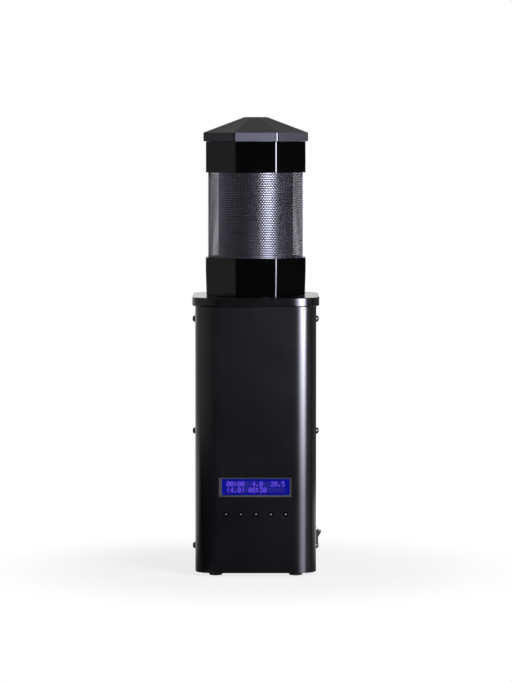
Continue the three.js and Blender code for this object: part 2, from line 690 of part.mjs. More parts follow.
// Display bezel: a folded metal frame, open behind, round the lit panel
function displayBezel() {
  const { width, height, depth, face, wall } = bezel;
  const outer = block([-width / 2, 0, -height / 2], [width / 2, depth, height / 2]);
  const inner = block(
    [wall - width / 2, face, wall - height / 2],
    [width / 2 - wall, depth + overrun, height / 2 - wall],
  );
  const window = block(
    [-lit.width / 2, -overrun, -lit.height / 2],
    [lit.width / 2, face + overrun, lit.height / 2],
  );
  return outer.subtract(inner).subtract(window);
}

function displayPanel() {
  const halfW = bezel.width / 2 - bezel.wall - gap;
  const halfH = bezel.height / 2 - bezel.wall - gap;
  return block([-halfW, bezel.face + gap, -halfH], [halfW, bezel.depth, halfH]);
}

function displayCircuit() {
  const { width, height, thickness } = displayBoard;
  const board = block([-width / 2, 0, -height / 2], [width / 2, thickness, height / 2]);
  const back = thickness + driverChip.thickness;
  const chips = [-width / 4, width / 4].map((x) =>
    block(
      [x - driverChip.width / 2, thickness / 2, -driverChip.height / 2],
      [x + driverChip.width / 2, back, driverChip.height / 2],
    ),
  );
  return join(board, ...chips);
}

// Push button: a stem through the shell, a collar behind it and a plunger in the switch.
// y = 0 is the shell's outer face
function pushButton() {
  const { stemRadius, proud } = button;
  const { collarRadius, collarThickness, neck, plungerDepth } = buttonParts;
  const collarY = sheet + gap;
  const end = collarY + collarThickness + neck + plungerDepth;
  const stem = bar([0, -proud, 0], [0, end, 0], stemRadius);
  return stem.add(bar([0, collarY, 0], [0, collarY + collarThickness, 0], collarRadius));
}

// Button board with its five switches, each bored for a plunger
function buttonCircuit() {
  const halfH = buttonBoard.height / 2;
  let part = block(
    [-buttonBoardHalf, buttonBoardFront, -halfH],
    [buttonBoardHalf, buttonBoardFront + buttonBoard.thickness, halfH],
  );
  const wellEnd = switchFront + buttonParts.plungerDepth + buttonParts.travel + gap;
  for (const x of buttonXs()) {
    const body = block(
      [x - tactSwitch.width / 2, switchFront, -tactSwitch.height / 2],
      [x + tactSwitch.width / 2, buttonBoardFront + buttonBoard.thickness / 2, tactSwitch.height / 2],
    );
    const well = bar([x, switchFront - overrun, 0], [x, wellEnd, 0], button.stemRadius + gap);
    part = part.add(body).subtract(well);
  }
  return part;
}

// Control board with relay, transformer, capacitor and terminal strip towards the chamber
function controlCircuit() {
  const { width, height, thickness } = controlBoard;
  const mount = ({ width: w, height: h, depth, xShare = 0, zShare }) => {
    const x = xShare * width;
    const z = zShare * height;
    return block([x - w / 2, -depth, z - h / 2], [x + w / 2, thickness / 2, z + h / 2]);
  };
  const board = block([-width / 2, 0, -height / 2], [width / 2, thickness, height / 2]);
  const canX = capacitor.xShare * width;
  const canZ = capacitor.zShare * height;
  const can = bar([canX, thickness / 2, canZ], [canX, -capacitor.length, canZ], capacitor.radius);
  return join(board, mount(relay), mount(transformer), mount(terminals), can);
}

const tiltAngle = THREE.MathUtils.degToRad(rocker.tilt);

// Rocker outline in [height, outward] about its pivot, before it is tipped
function rockerProfile() {
  const { faceLength, pivotDepth, endDepth } = rocker;
  const tipZ = faceLength * Math.cos(tiltAngle);
  const tipX = pivotDepth + faceLength * Math.sin(tiltAngle);
  const endZ = tipZ + endDepth * Math.sin(tiltAngle);
  const endX = tipX - endDepth * Math.cos(tiltAngle);
  return { tipZ, tipX, endZ, endX };
}

// Half sizes of the switch case across Y and Z
function switchCaseHalves() {
  const { endZ, endX } = rockerProfile();
  const cavityZ = Math.hypot(endZ, endX) + gap;
  return [rockerBody.width / 2 + gap + switchCase.wall, cavityZ + switchCase.wall];
}

// Power rocker: two pads meeting in a valley, tipped so that the upper pad stands out
function powerRocker() {
  const { tipZ, tipX, endZ, endX } = rockerProfile();
  const { width, hubHalf, hubDepth, stubRadius, stubLength } = rockerBody;
  const points = [
    [-hubDepth, -hubHalf],
    [endX, -endZ],
    [tipX, -tipZ],
    [rocker.pivotDepth, 0],
    [tipX, tipZ],
    [endX, endZ],
    [-hubDepth, hubHalf],
  ];
  const body = extrudeBack(outline(points), -width / 2, width / 2);
  const reach = width / 2 + stubLength;
  return body.add(bar([0, -reach, 0], [0, reach, 0], stubRadius, pivotFacets));
}

// Switch case: bezel outside the wall, case through it, with the well that the rocker turns in
function switchHousing() {
  const [caseY, caseZ] = switchCaseHalves();
  const wall = rockerBody.pivotIn + gap;
  const face = wall + switchBezel.thickness;
  const { marginY, marginZ } = switchBezel;
  const flange = block([wall, -caseY - marginY, -caseZ - marginZ], [face, caseY + marginY, caseZ + marginZ]);
  const body = block([-switchCase.depth, -caseY, -caseZ], [face - switchBezel.thickness / 2, caseY, caseZ]);
  const wellY = caseY - switchCase.wall;
  const wellZ = caseZ - switchCase.wall;
  const well = block([-switchCase.cavityBelowPivot, -wellY, -wellZ], [face + overrun, wellY, wellZ]);
  const stubReach = rockerBody.width / 2 + rockerBody.stubLength + gap;
  const bore = bar([0, -stubReach, 0], [0, stubReach, 0], rockerBody.stubRadius + gap, pivotFacets);
  return flange.add(body).subtract(well).subtract(bore);
}

// Half sizes of the mains inlet's case across X and Z
function inletHalves() {
  return [inlet.cavityWidth / 2 + inlet.wall, inlet.cavityHeight / 2 + inlet.wall];
}

// Mains inlet: flange on the rear wall, socket and three flat pins. y = 0 is the wall's outer face
function mainsInlet() {
  const [halfX, halfZ] = inletHalves();
  const face = gap + inletFlange.thickness;
  const back = face - inlet.cavityDepth - inletFlange.back;
  const { marginX, marginZ } = inletFlange;
  const flange = block([-halfX - marginX, gap, -halfZ - marginZ], [halfX + marginX, face, halfZ + marginZ]);
  const body = block([-halfX, back, -halfZ], [halfX, face - inletFlange.thickness / 2, halfZ]);
  const cutX = inlet.cavityWidth / 2;
  const cutZ = inlet.cavityHeight / 2;
  const chamfer = cutZ / 3;
  const socketShape = outline([
    [-cutX, -cutZ],
    [cutX, -cutZ],
    [cutX, cutZ - chamfer],
    [cutX - chamfer, cutZ],
    [chamfer - cutX, cutZ],
    [-cutX, cutZ - chamfer],
  ]);
  const socket = extrudeBack(socketShape, face - inlet.cavityDepth, face + overrun);
  let part = flange.add(body).subtract(socket);
  for (const [column, rise] of [[-1, -inletPin.lineDrop], [0, inletPin.earthRise], [1, -inletPin.lineDrop]]) {
    const x = column * inletPin.pitch;
    const floorY = face - inlet.cavityDepth;
    const pin = block(
      [x - inletPin.width / 2, floorY - inletFlange.back / 2, rise - inletPin.height / 2],
      [x + inletPin.width / 2, floorY + inletPin.length, rise + inletPin.height / 2],
    );
    part = part.add(pin);
  }
  return part;
}

const rebateRadius = sleeve.radius + gap;
const chaffRadius = sleeve.radius - sleeve.wall - sleeve.ledge;
const ringBottom = cup.height + sleeve.exposed;
const ringTop = ringBottom + ring.height;
const sleeveBottom = cup.height - sleeve.rebate + gap;
const sleeveTop = ringBottom + sleeve.rebate - gap;
const cupFloorTop = gap + cup.floorThickness;
const screenTop = ringTop - capPlug.depth - screen.belowPlug;

// Chaff cup: octagonal outside, round inside, with a riser for the hot air, a spigot into the plate
// and a seat round the foot of the screen. z = 0 is the top plate's upper face
function collectorCup() {
  const low = gap;
  const floorTop = cupFloorTop;
  const spigotLow = spigotEnd - plateTop;
  const { radius, wall, height, spigotRadius } = riser;
  const body = octagonal([
    [0, low],
    [cup.bottomAcross / 2, low],
    [cup.topAcross / 2, low + cup.taperHeight],
    [cup.topAcross / 2, cup.height],
    [0, cup.height],
  ]);
  const bowl = disc(chaffRadius, floorTop, cup.height + overrun);
  const rebate = disc(rebateRadius, cup.height - sleeve.rebate, cup.height + overrun, cells.columns);
  const pipe = disc(radius + wall, low, height);
  const seatInner = screen.radius + gap;
  const seatLow = low + cup.floorThickness / 2;
  const seat = tube(seatInner, seatInner + screen.seatWidth, seatLow, floorTop + screen.seatHeight);
  const spigot = disc(boreRadius - gap, spigotLow, floorTop);
  const passage = revolve([
    [0, spigotLow - overrun],
    [spigotRadius, spigotLow - overrun],
    [spigotRadius, low],
    [radius, floorTop],
    [radius, height + overrun],
    [0, height + overrun],
  ]);
  return body.subtract(bowl).subtract(rebate).add(pipe).add(seat).add(spigot).subtract(passage);
}

// Mesh sleeve: a rolled mesh cylinder with plain hems; each cell stands for a patch of the fine mesh
function meshSleeve() {
  const { columns, rows, bar: barWidth, margin } = cells;
  let part = tube(sleeve.radius - sleeve.wall, sleeve.radius, sleeveBottom, sleeveTop, columns);
  const bottom = cup.height + margin;
  const cellPitch = (sleeve.exposed - margin * 2 + barWidth) / rows;
  const halfCell = Math.PI / columns - barWidth / sleeve.radius / 2;
  const near = sleeve.radius - sleeve.wall - overrun;
  const far = sleeve.radius + overrun;
  const corners = [[near, -halfCell], [far, -halfCell], [far, halfCell], [near, halfCell]];
  const wedge = outline(corners.map(([r, angle]) => [r * Math.cos(angle), r * Math.sin(angle)]));
  for (let row = 0; row < rows; row++) {
    const low = bottom + row * cellPitch;
    const cell = extrude(wedge, low, low + cellPitch - barWidth);
    const ringOfCells = Array.from({ length: columns }, (_, i) => cell.rotate([0, 0, (i / columns) * 360]));
    part = part.subtract(join(...ringOfCells));
  }
  return part;
}

// Collector ring: octagonal outside, round inside, rebated below for the sleeve
function collectorRing() {
  const half = ring.across / 2;
  const body = octagonal([[0, ringBottom], [half, ringBottom], [half, ringTop], [0, ringTop]]);
  const bore = disc(chaffRadius, ringBottom - overrun, ringTop + overrun);
  const rebateTop = ringBottom + sleeve.rebate;
  return body.subtract(bore).subtract(disc(rebateRadius, ringBottom - overrun, rebateTop, cells.columns));
}

// Cap: a low octagonal pyramid with a small flat top, hollow below, with a round plug.
// z = 0 is the ring's top
function collectorCap() {
  const { rimAcross, rimHeight, slopeHeight, topAcross, wall } = cap;
  const crown = rimHeight + slopeHeight;
  const body = octagonal([
    [0, gap],
    [rimAcross / 2, gap],
    [rimAcross / 2, rimHeight],
    [topAcross / 2, crown],
    [0, crown],
  ]);
  const plugRadius = chaffRadius - capPlug.slack;
  const hollowRadius = plugRadius - capPlug.wall;
  const slope = (slopeHeight * 2) / (rimAcross - topAcross);
  const shoulder = rimHeight + (rimAcross / 2 - hollowRadius) * slope - wall;
  const plug = disc(plugRadius, -capPlug.depth, rimHeight / 2);
  const hollow = revolve([
    [0, -capPlug.depth - overrun],
    [hollowRadius, -capPlug.depth - overrun],
    [hollowRadius, shoulder],
    [topAcross / 2, crown - wall],
    [0, crown - wall],
  ]);
  return body.add(plug).subtract(hollow);
}

// Assembly
const roaster = new THREE.Group();

const base = new THREE.Group();
base.position.z = footHeight;
base.add(piece("base_tray", baseTray(), finishes.steel));
const footNames = ["front_left", "front_right", "rear_left", "rear_right"];
footPlaces().forEach(([x, y], i) => {
  const mesh = piece("foot_" + footNames[i], rubberFoot(), finishes.rubber);
  mesh.position.set(x, y, 0);
  base.add(mesh);
});

const housing = new THREE.Group();
housing.add(piece("front_shell", frontShell(), finishes.blackPaint));
housing.add(piece("rear_shell", rearShell(), finishes.blackPaint));
const plateMesh = piece("top_plate", topPlate(), finishes.blackPaint);
plateMesh.position.z = plateBottom;
housing.add(plateMesh);
for (const [side, sign] of [["left", -1], ["right", 1]]) {
  screwHeights.forEach((z, i) => {
    const level = ["bottom", "middle", "top"][i];
    const mesh = piece(`side_screw_${side}_${level}`, domedScrew(), finishes.darkSteel);
    mesh.position.set(sign * halfWidth, screwPlace.y, z);
    mesh.rotation.y = (sign * Math.PI) / 2;
    housing.add(mesh);
  });
}

const roasting = new THREE.Group();
roasting.position.z = chamberBottom;
const airPlateMesh = piece("air_plate", slottedAirPlate(), finishes.steel);
airPlateMesh.position.z = chamber.wall + gap;
const probeMesh = piece("temperature_probe", temperatureProbe(), finishes.brass);
probeMesh.position.z = probe.aboveSeat;
const sealRing = tube(flangeRadius - seal.width, flangeRadius, 0, seal.thickness);
const sealMesh = piece("chamber_seal", sealRing, finishes.silicone);
sealMesh.position.z = sealBottom - chamberBottom;
roasting.add(piece("roast_chamber", roastChamber(), finishes.steel), airPlateMesh, probeMesh, sealMesh);

const heating = new THREE.Group();
heating.position.z = heaterBottom;
const windings = new THREE.Group();
windings.position.z = heater.lipHeight + gap;
windings.add(piece("heater_former", heaterFormer(), finishes.mica));
windings.add(piece("heater_coil", heaterCoil(), finishes.wire));
heating.add(piece("heater_housing", heaterHousing(), finishes.steel), windings);

const blowing = new THREE.Group();
blowing.position.z = ductBottom;
const motorMesh = piece("fan_motor", fanMotor(), finishes.darkSteel);
const motorLow = motorBottom - ductBottom + motor.bossLength + gap * 2;
motorMesh.position.z = motorLow;
const impellerMesh = piece("fan_impeller", fanImpeller(), finishes.blackPlastic);
impellerMesh.position.z = impellerBottom - ductBottom;
const shaftLow = impeller.aboveInlet + impeller.noseHeight + gap;
const shaftBar = bar([0, 0, shaftLow], [0, 0, motorLow + motor.boreDepth - gap], shaft.radius, smallFacets);
blowing.add(piece("fan_duct", fanDuct(), finishes.greyPlastic), motorMesh, impellerMesh);
blowing.add(piece("fan_shaft", shaftBar, finishes.steel));

const displayGroup = new THREE.Group();
displayGroup.position.set(0, bezelFront, displayHeight);
const displayBoardMesh = piece("display_board", displayCircuit(), finishes.circuitBoard);
displayBoardMesh.position.y = displayBoardFront - bezelFront;
displayGroup.add(piece("display_bezel", displayBezel(), finishes.darkSteel));
displayGroup.add(piece("display_panel", displayPanel(), finishes.litPanel), displayBoardMesh);

const buttons = new THREE.Group();
buttons.position.z = buttonHeight;
buttons.add(piece("button_board", buttonCircuit(), finishes.circuitBoard));
buttonXs().forEach((x, i) => {
  const mesh = piece("button_" + (i + 1), pushButton(), finishes.greyPlastic);
  mesh.position.set(x, -halfDepth, 0);
  buttons.add(mesh);
});

const controlMesh = piece("control_board", controlCircuit(), finishes.circuitBoard);
controlMesh.position.set(0, controlBoardBack - controlBoard.thickness, controlHeight);

const powerSwitch = new THREE.Group();
powerSwitch.position.set(halfWidth - rockerBody.pivotIn, rocker.y, footHeight + rocker.fromBottom);
const rockerMesh = piece("power_rocker", powerRocker(), finishes.blackPlastic);
rockerMesh.rotation.y = tiltAngle;
powerSwitch.add(piece("switch_housing", switchHousing(), finishes.blackPlastic), rockerMesh);

const inletMesh = piece("mains_inlet", mainsInlet(), finishes.blackPlastic);
inletMesh.position.set(inlet.x, halfDepth, footHeight + inlet.fromBottom);

const collector = new THREE.Group();
collector.position.z = plateTop;
const capMesh = piece("collector_cap", collectorCap(), finishes.blackPlastic);
capMesh.position.z = ringTop;
collector.add(piece("collector_cup", collectorCup(), finishes.blackPlastic));
collector.add(piece("mesh_sleeve", meshSleeve(), finishes.darkSteel));
const screenTube = tube(screen.radius - screen.wall, screen.radius, cupFloorTop + gap, screenTop);
collector.add(piece("chaff_screen", screenTube, finishes.darkSteel));
collector.add(piece("collector_ring", collectorRing(), finishes.blackPlastic), capMesh);

roaster.add(base, housing, roasting, heating, blowing, displayGroup, buttons, controlMesh);
roaster.add(powerSwitch, inletMesh, collector);

export default roaster;
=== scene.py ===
import math

import bmesh
import bpy
from mathutils import Matrix, Vector


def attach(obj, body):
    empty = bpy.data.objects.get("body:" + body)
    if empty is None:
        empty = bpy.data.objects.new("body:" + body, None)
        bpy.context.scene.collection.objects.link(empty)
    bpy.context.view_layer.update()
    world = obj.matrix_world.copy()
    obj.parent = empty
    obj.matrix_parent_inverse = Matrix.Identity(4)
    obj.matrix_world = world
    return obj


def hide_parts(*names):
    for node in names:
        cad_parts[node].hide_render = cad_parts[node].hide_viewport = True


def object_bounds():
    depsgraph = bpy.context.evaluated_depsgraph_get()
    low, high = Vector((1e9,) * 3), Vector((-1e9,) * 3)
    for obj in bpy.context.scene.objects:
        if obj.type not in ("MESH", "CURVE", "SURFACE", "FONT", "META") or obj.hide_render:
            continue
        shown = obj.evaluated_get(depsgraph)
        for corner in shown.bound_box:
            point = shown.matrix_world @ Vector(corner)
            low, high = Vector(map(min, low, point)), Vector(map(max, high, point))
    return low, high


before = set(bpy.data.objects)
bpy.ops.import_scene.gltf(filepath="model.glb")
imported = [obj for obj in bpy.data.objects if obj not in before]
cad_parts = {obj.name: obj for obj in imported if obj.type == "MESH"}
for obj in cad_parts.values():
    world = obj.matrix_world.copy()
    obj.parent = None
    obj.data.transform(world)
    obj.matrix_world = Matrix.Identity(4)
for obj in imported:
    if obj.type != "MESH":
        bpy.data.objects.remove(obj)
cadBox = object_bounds()
mm = 0.001
print("frame loaded:", len(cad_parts), "nodes")

scene = bpy.context.scene
scene.view_settings.view_transform = "Standard"


# Named values of one form, and several of them at once by their names
class Values:
    def __init__(self, **values):
        self.__dict__.update(values)

    def pick(self, keys):
        return [getattr(self, key) for key in keys.split()]


def addObject(name, data):
    obj = bpy.data.objects.new(name, data)
    scene.collection.objects.link(obj)
    return obj


# Camera: level with the cap's top, a long lens 3.3 m in front of the shell
camera = Values(lens=180.6, sensor=36.0, place=(0.3, -3362.0, 449.0), pitch=3.79)
cameraData = bpy.data.cameras.new("camera")
cameraData.lens = camera.lens
cameraData.sensor_width = camera.sensor
cameraObject = addObject("camera", cameraData)
cameraObject.location = Vector(camera.place) * mm
cameraObject.rotation_euler = (math.radians(90 - camera.pitch), 0, 0)
scene.camera = cameraObject


# Node helpers: what is fed is a number, a colour, a socket, or a node that stands for its first output
def feed(tree, value, target):
    if isinstance(value, bpy.types.Node):
        value = value.outputs[0]
    if isinstance(value, bpy.types.NodeSocket):
        tree.links.new(value, target)
    elif target.type == "RGBA":
        target.default_value = (*value, 1)
    else:
        target.default_value = value


def addNode(tree, kind, fed=None, **settings):
    node = tree.nodes.new(kind)
    for key, value in settings.items():
        setattr(node, key, value)
    for key, value in (fed or {}).items():
        feed(tree, value, node.inputs[key])
    return node


def shaderNode(tree, kind, fed=None, **settings):
    return addNode(tree, "ShaderNode" + kind, fed, **settings)


def geometryNode(tree, kind, fed=None, **settings):
    return addNode(tree, "GeometryNode" + kind, fed, **settings)


def mathNode(tree, operation, *values):
    return shaderNode(tree, "Math", dict(enumerate(values)), operation=operation)


def times(tree, a, b):
    return mathNode(tree, "MULTIPLY", a, b)


def vectorNode(tree, x=0, y=0, z=0):
    return shaderNode(tree, "CombineXYZ", {0: x, 1: y, 2: z})


def mixColour(tree, share, a, b):
    return shaderNode(tree, "Mix", {0: share, 6: a, 7: b}, data_type="RGBA").outputs[2]


def mixShader(tree, share, a, b):
    return shaderNode(tree, "MixShader", {0: share, 1: a, 2: b})


def ramp(tree, source, low, high, bottom=0.0, top=1.0, kind="SMOOTHSTEP"):
    fed = {"Value": source, "From Min": low, "From Max": high, "To Min": bottom, "To Max": top}
    return shaderNode(tree, "MapRange", fed, interpolation_type=kind)


def clearTree(owner):
    owner.use_nodes = True
    owner.node_tree.nodes.clear()
    return owner.node_tree


def lightPath(tree):
    rays = shaderNode(tree, "LightPath").outputs
    direct = mathNode(tree, "MAXIMUM", rays["Is Camera Ray"], rays["Is Transmission Ray"])
    return direct, rays["Is Glossy Ray"]


def newTree(name, treeKind, inputs, outputs):
    # an input is given as its default value, or as its kind alone
    tree = bpy.data.node_groups.new(name, treeKind)
    kinds = {float: "Float", int: "Int", tuple: "Vector"}
    for socket, value in inputs.items():
        kind = value if isinstance(value, str) else kinds[type(value)]
        made = tree.interface.new_socket(socket, in_out="INPUT", socket_type="NodeSocket" + kind)
        if kind != value:
            made.default_value = value
    for socket, kind in outputs.items():
        tree.interface.new_socket(socket, in_out="OUTPUT", socket_type="NodeSocket" + kind)
    return tree, addNode(tree, "NodeGroupInput").outputs, addNode(tree, "NodeGroupOutput").inputs


# Studio: plain pale floor, white surround, a tall soft box for the glossy faces and a key lamp for the rest
studio = Values(
    floorRadius=1.8, floorColour=0.86, floorFade=(0.12, 0.30), floorGlow=0.8, mirrorFade=(1.0, 1.8),
    mirrorGlow=0.68, glowRise=(-0.15, 0.30), behind=(-0.04, 0.06), left=(0.04, 0.09), right=(0.0, 0.1),
    diffuseLevel=0.25, lowerLevel=0.15, upperLevel=0.09, topLevel=0.17, lowerRise=(-0.5, -0.2),
    upperRise=(0.26, 0.62), topRise=(0.7, 1.0),
)
# what polished faces mirror, by bearing: 0 towards the camera, 90 to the right
mirroredLevels = (
    (-180, 1.0), (-170, 1.0), (-155, 0.55), (-137, 0.5), (-120, 0.42), (-97, 0.45), (-93, 0.33),
    (-88, 0.33), (-84, 0.48), (-51, 0.37), (-22, 0.22), (-5, 0.02), (40, 0.05), (60, 0.35), (83, 0.28),
    (88, 0.04), (93, 0.04), (98, 0.22), (120, 0.17), (152, 0.10), (172, 0.15), (180, 1.0),
)


def makeWorld():
    world = bpy.data.worlds.new("surround")
    scene.world = world
    tree = clearTree(world)
    coords = shaderNode(tree, "TexCoord").outputs["Generated"]
    axes = shaderNode(tree, "SeparateXYZ", {0: coords}).outputs
    bearing = mathNode(tree, "ARCTAN2", axes["X"], times(tree, axes["Y"], -1.0))
    share = mathNode(tree, "ADD", mathNode(tree, "DIVIDE", bearing, 2 * math.pi), 0.5)
    around = shaderNode(tree, "ValToRGB", {0: share})
    stops = around.color_ramp.elements
    for angle, _ in mirroredLevels[1:-1]:
        stops.new((angle + 180) / 360)
    for stop, (_, level) in zip(stops, mirroredLevels):
        stop.color = (level, level, level, 1)
    upper = ramp(tree, axes["Z"], *studio.topRise, studio.upperLevel, studio.topLevel)
    mirror = mixColour(tree, ramp(tree, axes["Z"], *studio.upperRise), around, upper)
    lower = (studio.lowerLevel,) * 3
    mirror = mixColour(tree, ramp(tree, axes["Z"], *studio.lowerRise), lower, mirror)
    direct, glossy = lightPath(tree)
    level = mixColour(tree, glossy, (studio.diffuseLevel,) * 3, mirror)
    background = shaderNode(tree, "Background", {"Color": mixColour(tree, direct, level, (1, 1, 1))})
    shaderNode(tree, "OutputWorld", {0: background})


def makeFloor():
    # polished faces mirror it pale behind and to the right, dim to the left, and not at all in front
    mesh = bpy.data.meshes.new("floor")
    bm = bmesh.new()
    bmesh.ops.create_circle(bm, cap_ends=True, segments=96, radius=studio.floorRadius)
    bm.to_mesh(mesh)
    bm.free()
    floor = addObject("floor", mesh)
    material = bpy.data.materials.new("paleFloor")
    tree = clearTree(material)
    coords = shaderNode(tree, "TexCoord").outputs["Object"]
    distance = shaderNode(tree, "VectorMath", {0: coords}, operation="LENGTH").outputs["Value"]
    axes = shaderNode(tree, "SeparateXYZ", {0: coords}).outputs
    direct, glossy = lightPath(tree)
    plain = shaderNode(tree, "BsdfDiffuse", {"Color": (studio.floorColour,) * 3})
    bright = shaderNode(tree, "Emission")
    clear = shaderNode(tree, "BsdfTransparent")
    lit = mixShader(tree, times(tree, direct, studio.floorGlow), plain, bright)
    ends = mixShader(tree, ramp(tree, distance, *studio.floorFade), lit, clear)
    behind = ramp(tree, axes["Y"], *studio.behind)
    left = ramp(tree, times(tree, axes["X"], -1), *studio.left)
    solid = mathNode(tree, "MAXIMUM", behind, left)
    shorter = mathNode(tree, "ADD", ramp(tree, axes["X"], *studio.right), 1)
    reach = times(tree, distance, shorter)
    near = mathNode(tree, "SUBTRACT", 1, ramp(tree, reach, *studio.mirrorFade))
    glow = times(tree, ramp(tree, axes["Y"], *studio.glowRise), studio.mirrorGlow)
    mirrored = shaderNode(tree, "Emission", {"Strength": glow})
    polished = mixShader(tree, times(tree, solid, near), clear, mirrored)
    shaderNode(tree, "OutputMaterial", {0: mixShader(tree, glossy, ends, polished)})
    floor.data.materials.append(material)


# The soft box is seen only in glossy faces; it weakens downwards and towards its sides
softBox = Values(
    bearing=31.0, distance=1.3, width=0.97, low=-0.20, full=0.35, high=0.80, climb=1.9, least=0.08,
    sideFade=0.95, radiance=73.0, tint=(0.83, 0.83, 1.0),
)
keyLamp = Values(bearing=40.0, distance=2.4, height=1.3, size=1.2, irradiance=2.4)


def addLamp(name, form, height, size, energy):
    data = bpy.data.lights.new(name, "AREA")
    data.shape = "RECTANGLE"
    data.size, data.size_y = size
    data.energy = energy
    lamp = addObject(name, data)
    turn = math.radians(form.bearing)
    lamp.location = (form.distance * math.sin(turn), -form.distance * math.cos(turn), height)
    return lamp


def makeSoftBox():
    low, high, width = softBox.pick("low high width")
    energy = softBox.radiance * math.pi * width * (high - low)
    lamp = addLamp("softBox", softBox, (low + high) / 2, (width, high - low), energy)
    turn = math.radians(softBox.bearing)
    lamp.rotation_euler = (math.radians(90), 0, turn)
    lamp.visible_diffuse = False
    lamp.data.color = softBox.tint
    tree = clearTree(lamp.data)
    spot = shaderNode(tree, "NewGeometry").outputs["Position"]
    axes = shaderNode(tree, "SeparateXYZ", {0: spot}).outputs
    climb = ramp(tree, axes["Z"], low, softBox.full, kind="LINEAR")
    strength = mathNode(tree, "POWER", climb, softBox.climb)
    strength = mathNode(tree, "MAXIMUM", strength, softBox.least)
    along = times(tree, axes["X"], math.cos(turn))
    along = mathNode(tree, "ADD", along, times(tree, axes["Y"], math.sin(turn)))
    inner = width / 2 * (1 - softBox.sideFade)
    side = ramp(tree, mathNode(tree, "ABSOLUTE", along), width / 2, inner)
    glow = shaderNode(tree, "Emission", {"Strength": times(tree, strength, side)})
    shaderNode(tree, "OutputLight", {0: glow})


def makeKeyLamp():
    distance, height, side = keyLamp.pick("distance height size")
    energy = keyLamp.irradiance * math.pi * math.hypot(distance, height) ** 2
    lamp = addLamp("keyLamp", keyLamp, height, (side, side), energy)
    tilt = math.atan2(height - cadBox[1][2] / 2, distance)
    lamp.rotation_euler = (math.radians(90) - tilt, 0, math.radians(keyLamp.bearing))
    lamp.visible_glossy = False


makeWorld()
makeFloor()
makeSoftBox()
makeKeyLamp()
print("studio ready")


# Shader groups
def makeGrainGroup():
    inputs = {
        "Vector": (0.0, 0.0, 0.0), "Grain Scale": 900.0, "Smudge Scale": 18.0, "Roughness Low": 0.3,
        "Roughness High": 0.4,
    }
    outputs = {"Height": "Float", "Roughness": "Float", "Mask": "Float"}
    tree, given, result = newTree("surfaceGrain", "ShaderNodeTree", inputs, outputs)
    fed = {"Vector": given["Vector"], "Scale": given["Grain Scale"], "Detail": 3}
    feed(tree, shaderNode(tree, "TexNoise", fed), result["Height"])
    fed = {"Vector": given["Vector"], "Scale": given["Smudge Scale"], "Detail": 4, "Distortion": 0.4}
    smudge = shaderNode(tree, "TexNoise", fed)
    roughness = ramp(tree, smudge, 0.35, 0.68, given["Roughness Low"], given["Roughness High"], "LINEAR")
    feed(tree, roughness, result["Roughness"])
    feed(tree, smudge, result["Mask"])
    return tree


def makeStreakGroup():
    inputs = {"Vector": (0.0, 0.0, 0.0), "Stretch": (1.0, 1.0, 30.0), "Scale": 60.0}
    tree, given, result = newTree("toolStreaks", "ShaderNodeTree", inputs, {"Height": "Float"})
    fed = {0: given["Vector"], 1: given["Stretch"]}
    stretched = shaderNode(tree, "VectorMath", fed, operation="MULTIPLY")
    fed = {"Vector": stretched, "Scale": given["Scale"], "Detail": 5}
    feed(tree, shaderNode(tree, "TexNoise", fed), result["Height"])
    return tree


grainGroup = makeGrainGroup()
streakGroup = makeStreakGroup()


# Materials
def makeMaterial(
    name, dark, light, roughness, metallic=0, specular=0.5, ior=1.5, tint=(1, 1, 1), anisotropic=0, glow=None,
    grain=900, smudge=18, streak=None, streakScale=60, bump=0.2, depth=0.02,
):
    material = bpy.data.materials.new(name)
    tree = clearTree(material)
    coords = shaderNode(tree, "TexCoord").outputs["Object"]
    fed = {"Vector": coords, "Grain Scale": grain, "Smudge Scale": smudge}
    fed.update({"Roughness Low": roughness[0], "Roughness High": roughness[1]})
    surface = shaderNode(tree, "Group", fed, node_tree=grainGroup).outputs
    height = surface["Height"]
    if streak:
        fed = {"Vector": coords, "Stretch": streak, "Scale": streakScale}
        height = shaderNode(tree, "Group", fed, node_tree=streakGroup)
    fed = {"Height": height, "Strength": bump, "Distance": depth * mm}
    fed = {
        "Normal": shaderNode(tree, "Bump", fed),
        "Base Color": mixColour(tree, surface["Mask"], dark, light), "Roughness": surface["Roughness"],
        "Metallic": metallic, "Specular IOR Level": specular, "IOR": ior, "Specular Tint": tint,
        "Anisotropic": anisotropic,
    }
    if glow:
        fed.update({"Emission Color": glow, "Emission Strength": 1})
    shaderNode(tree, "OutputMaterial", {0: shaderNode(tree, "BsdfPrincipled", fed)})
    return material


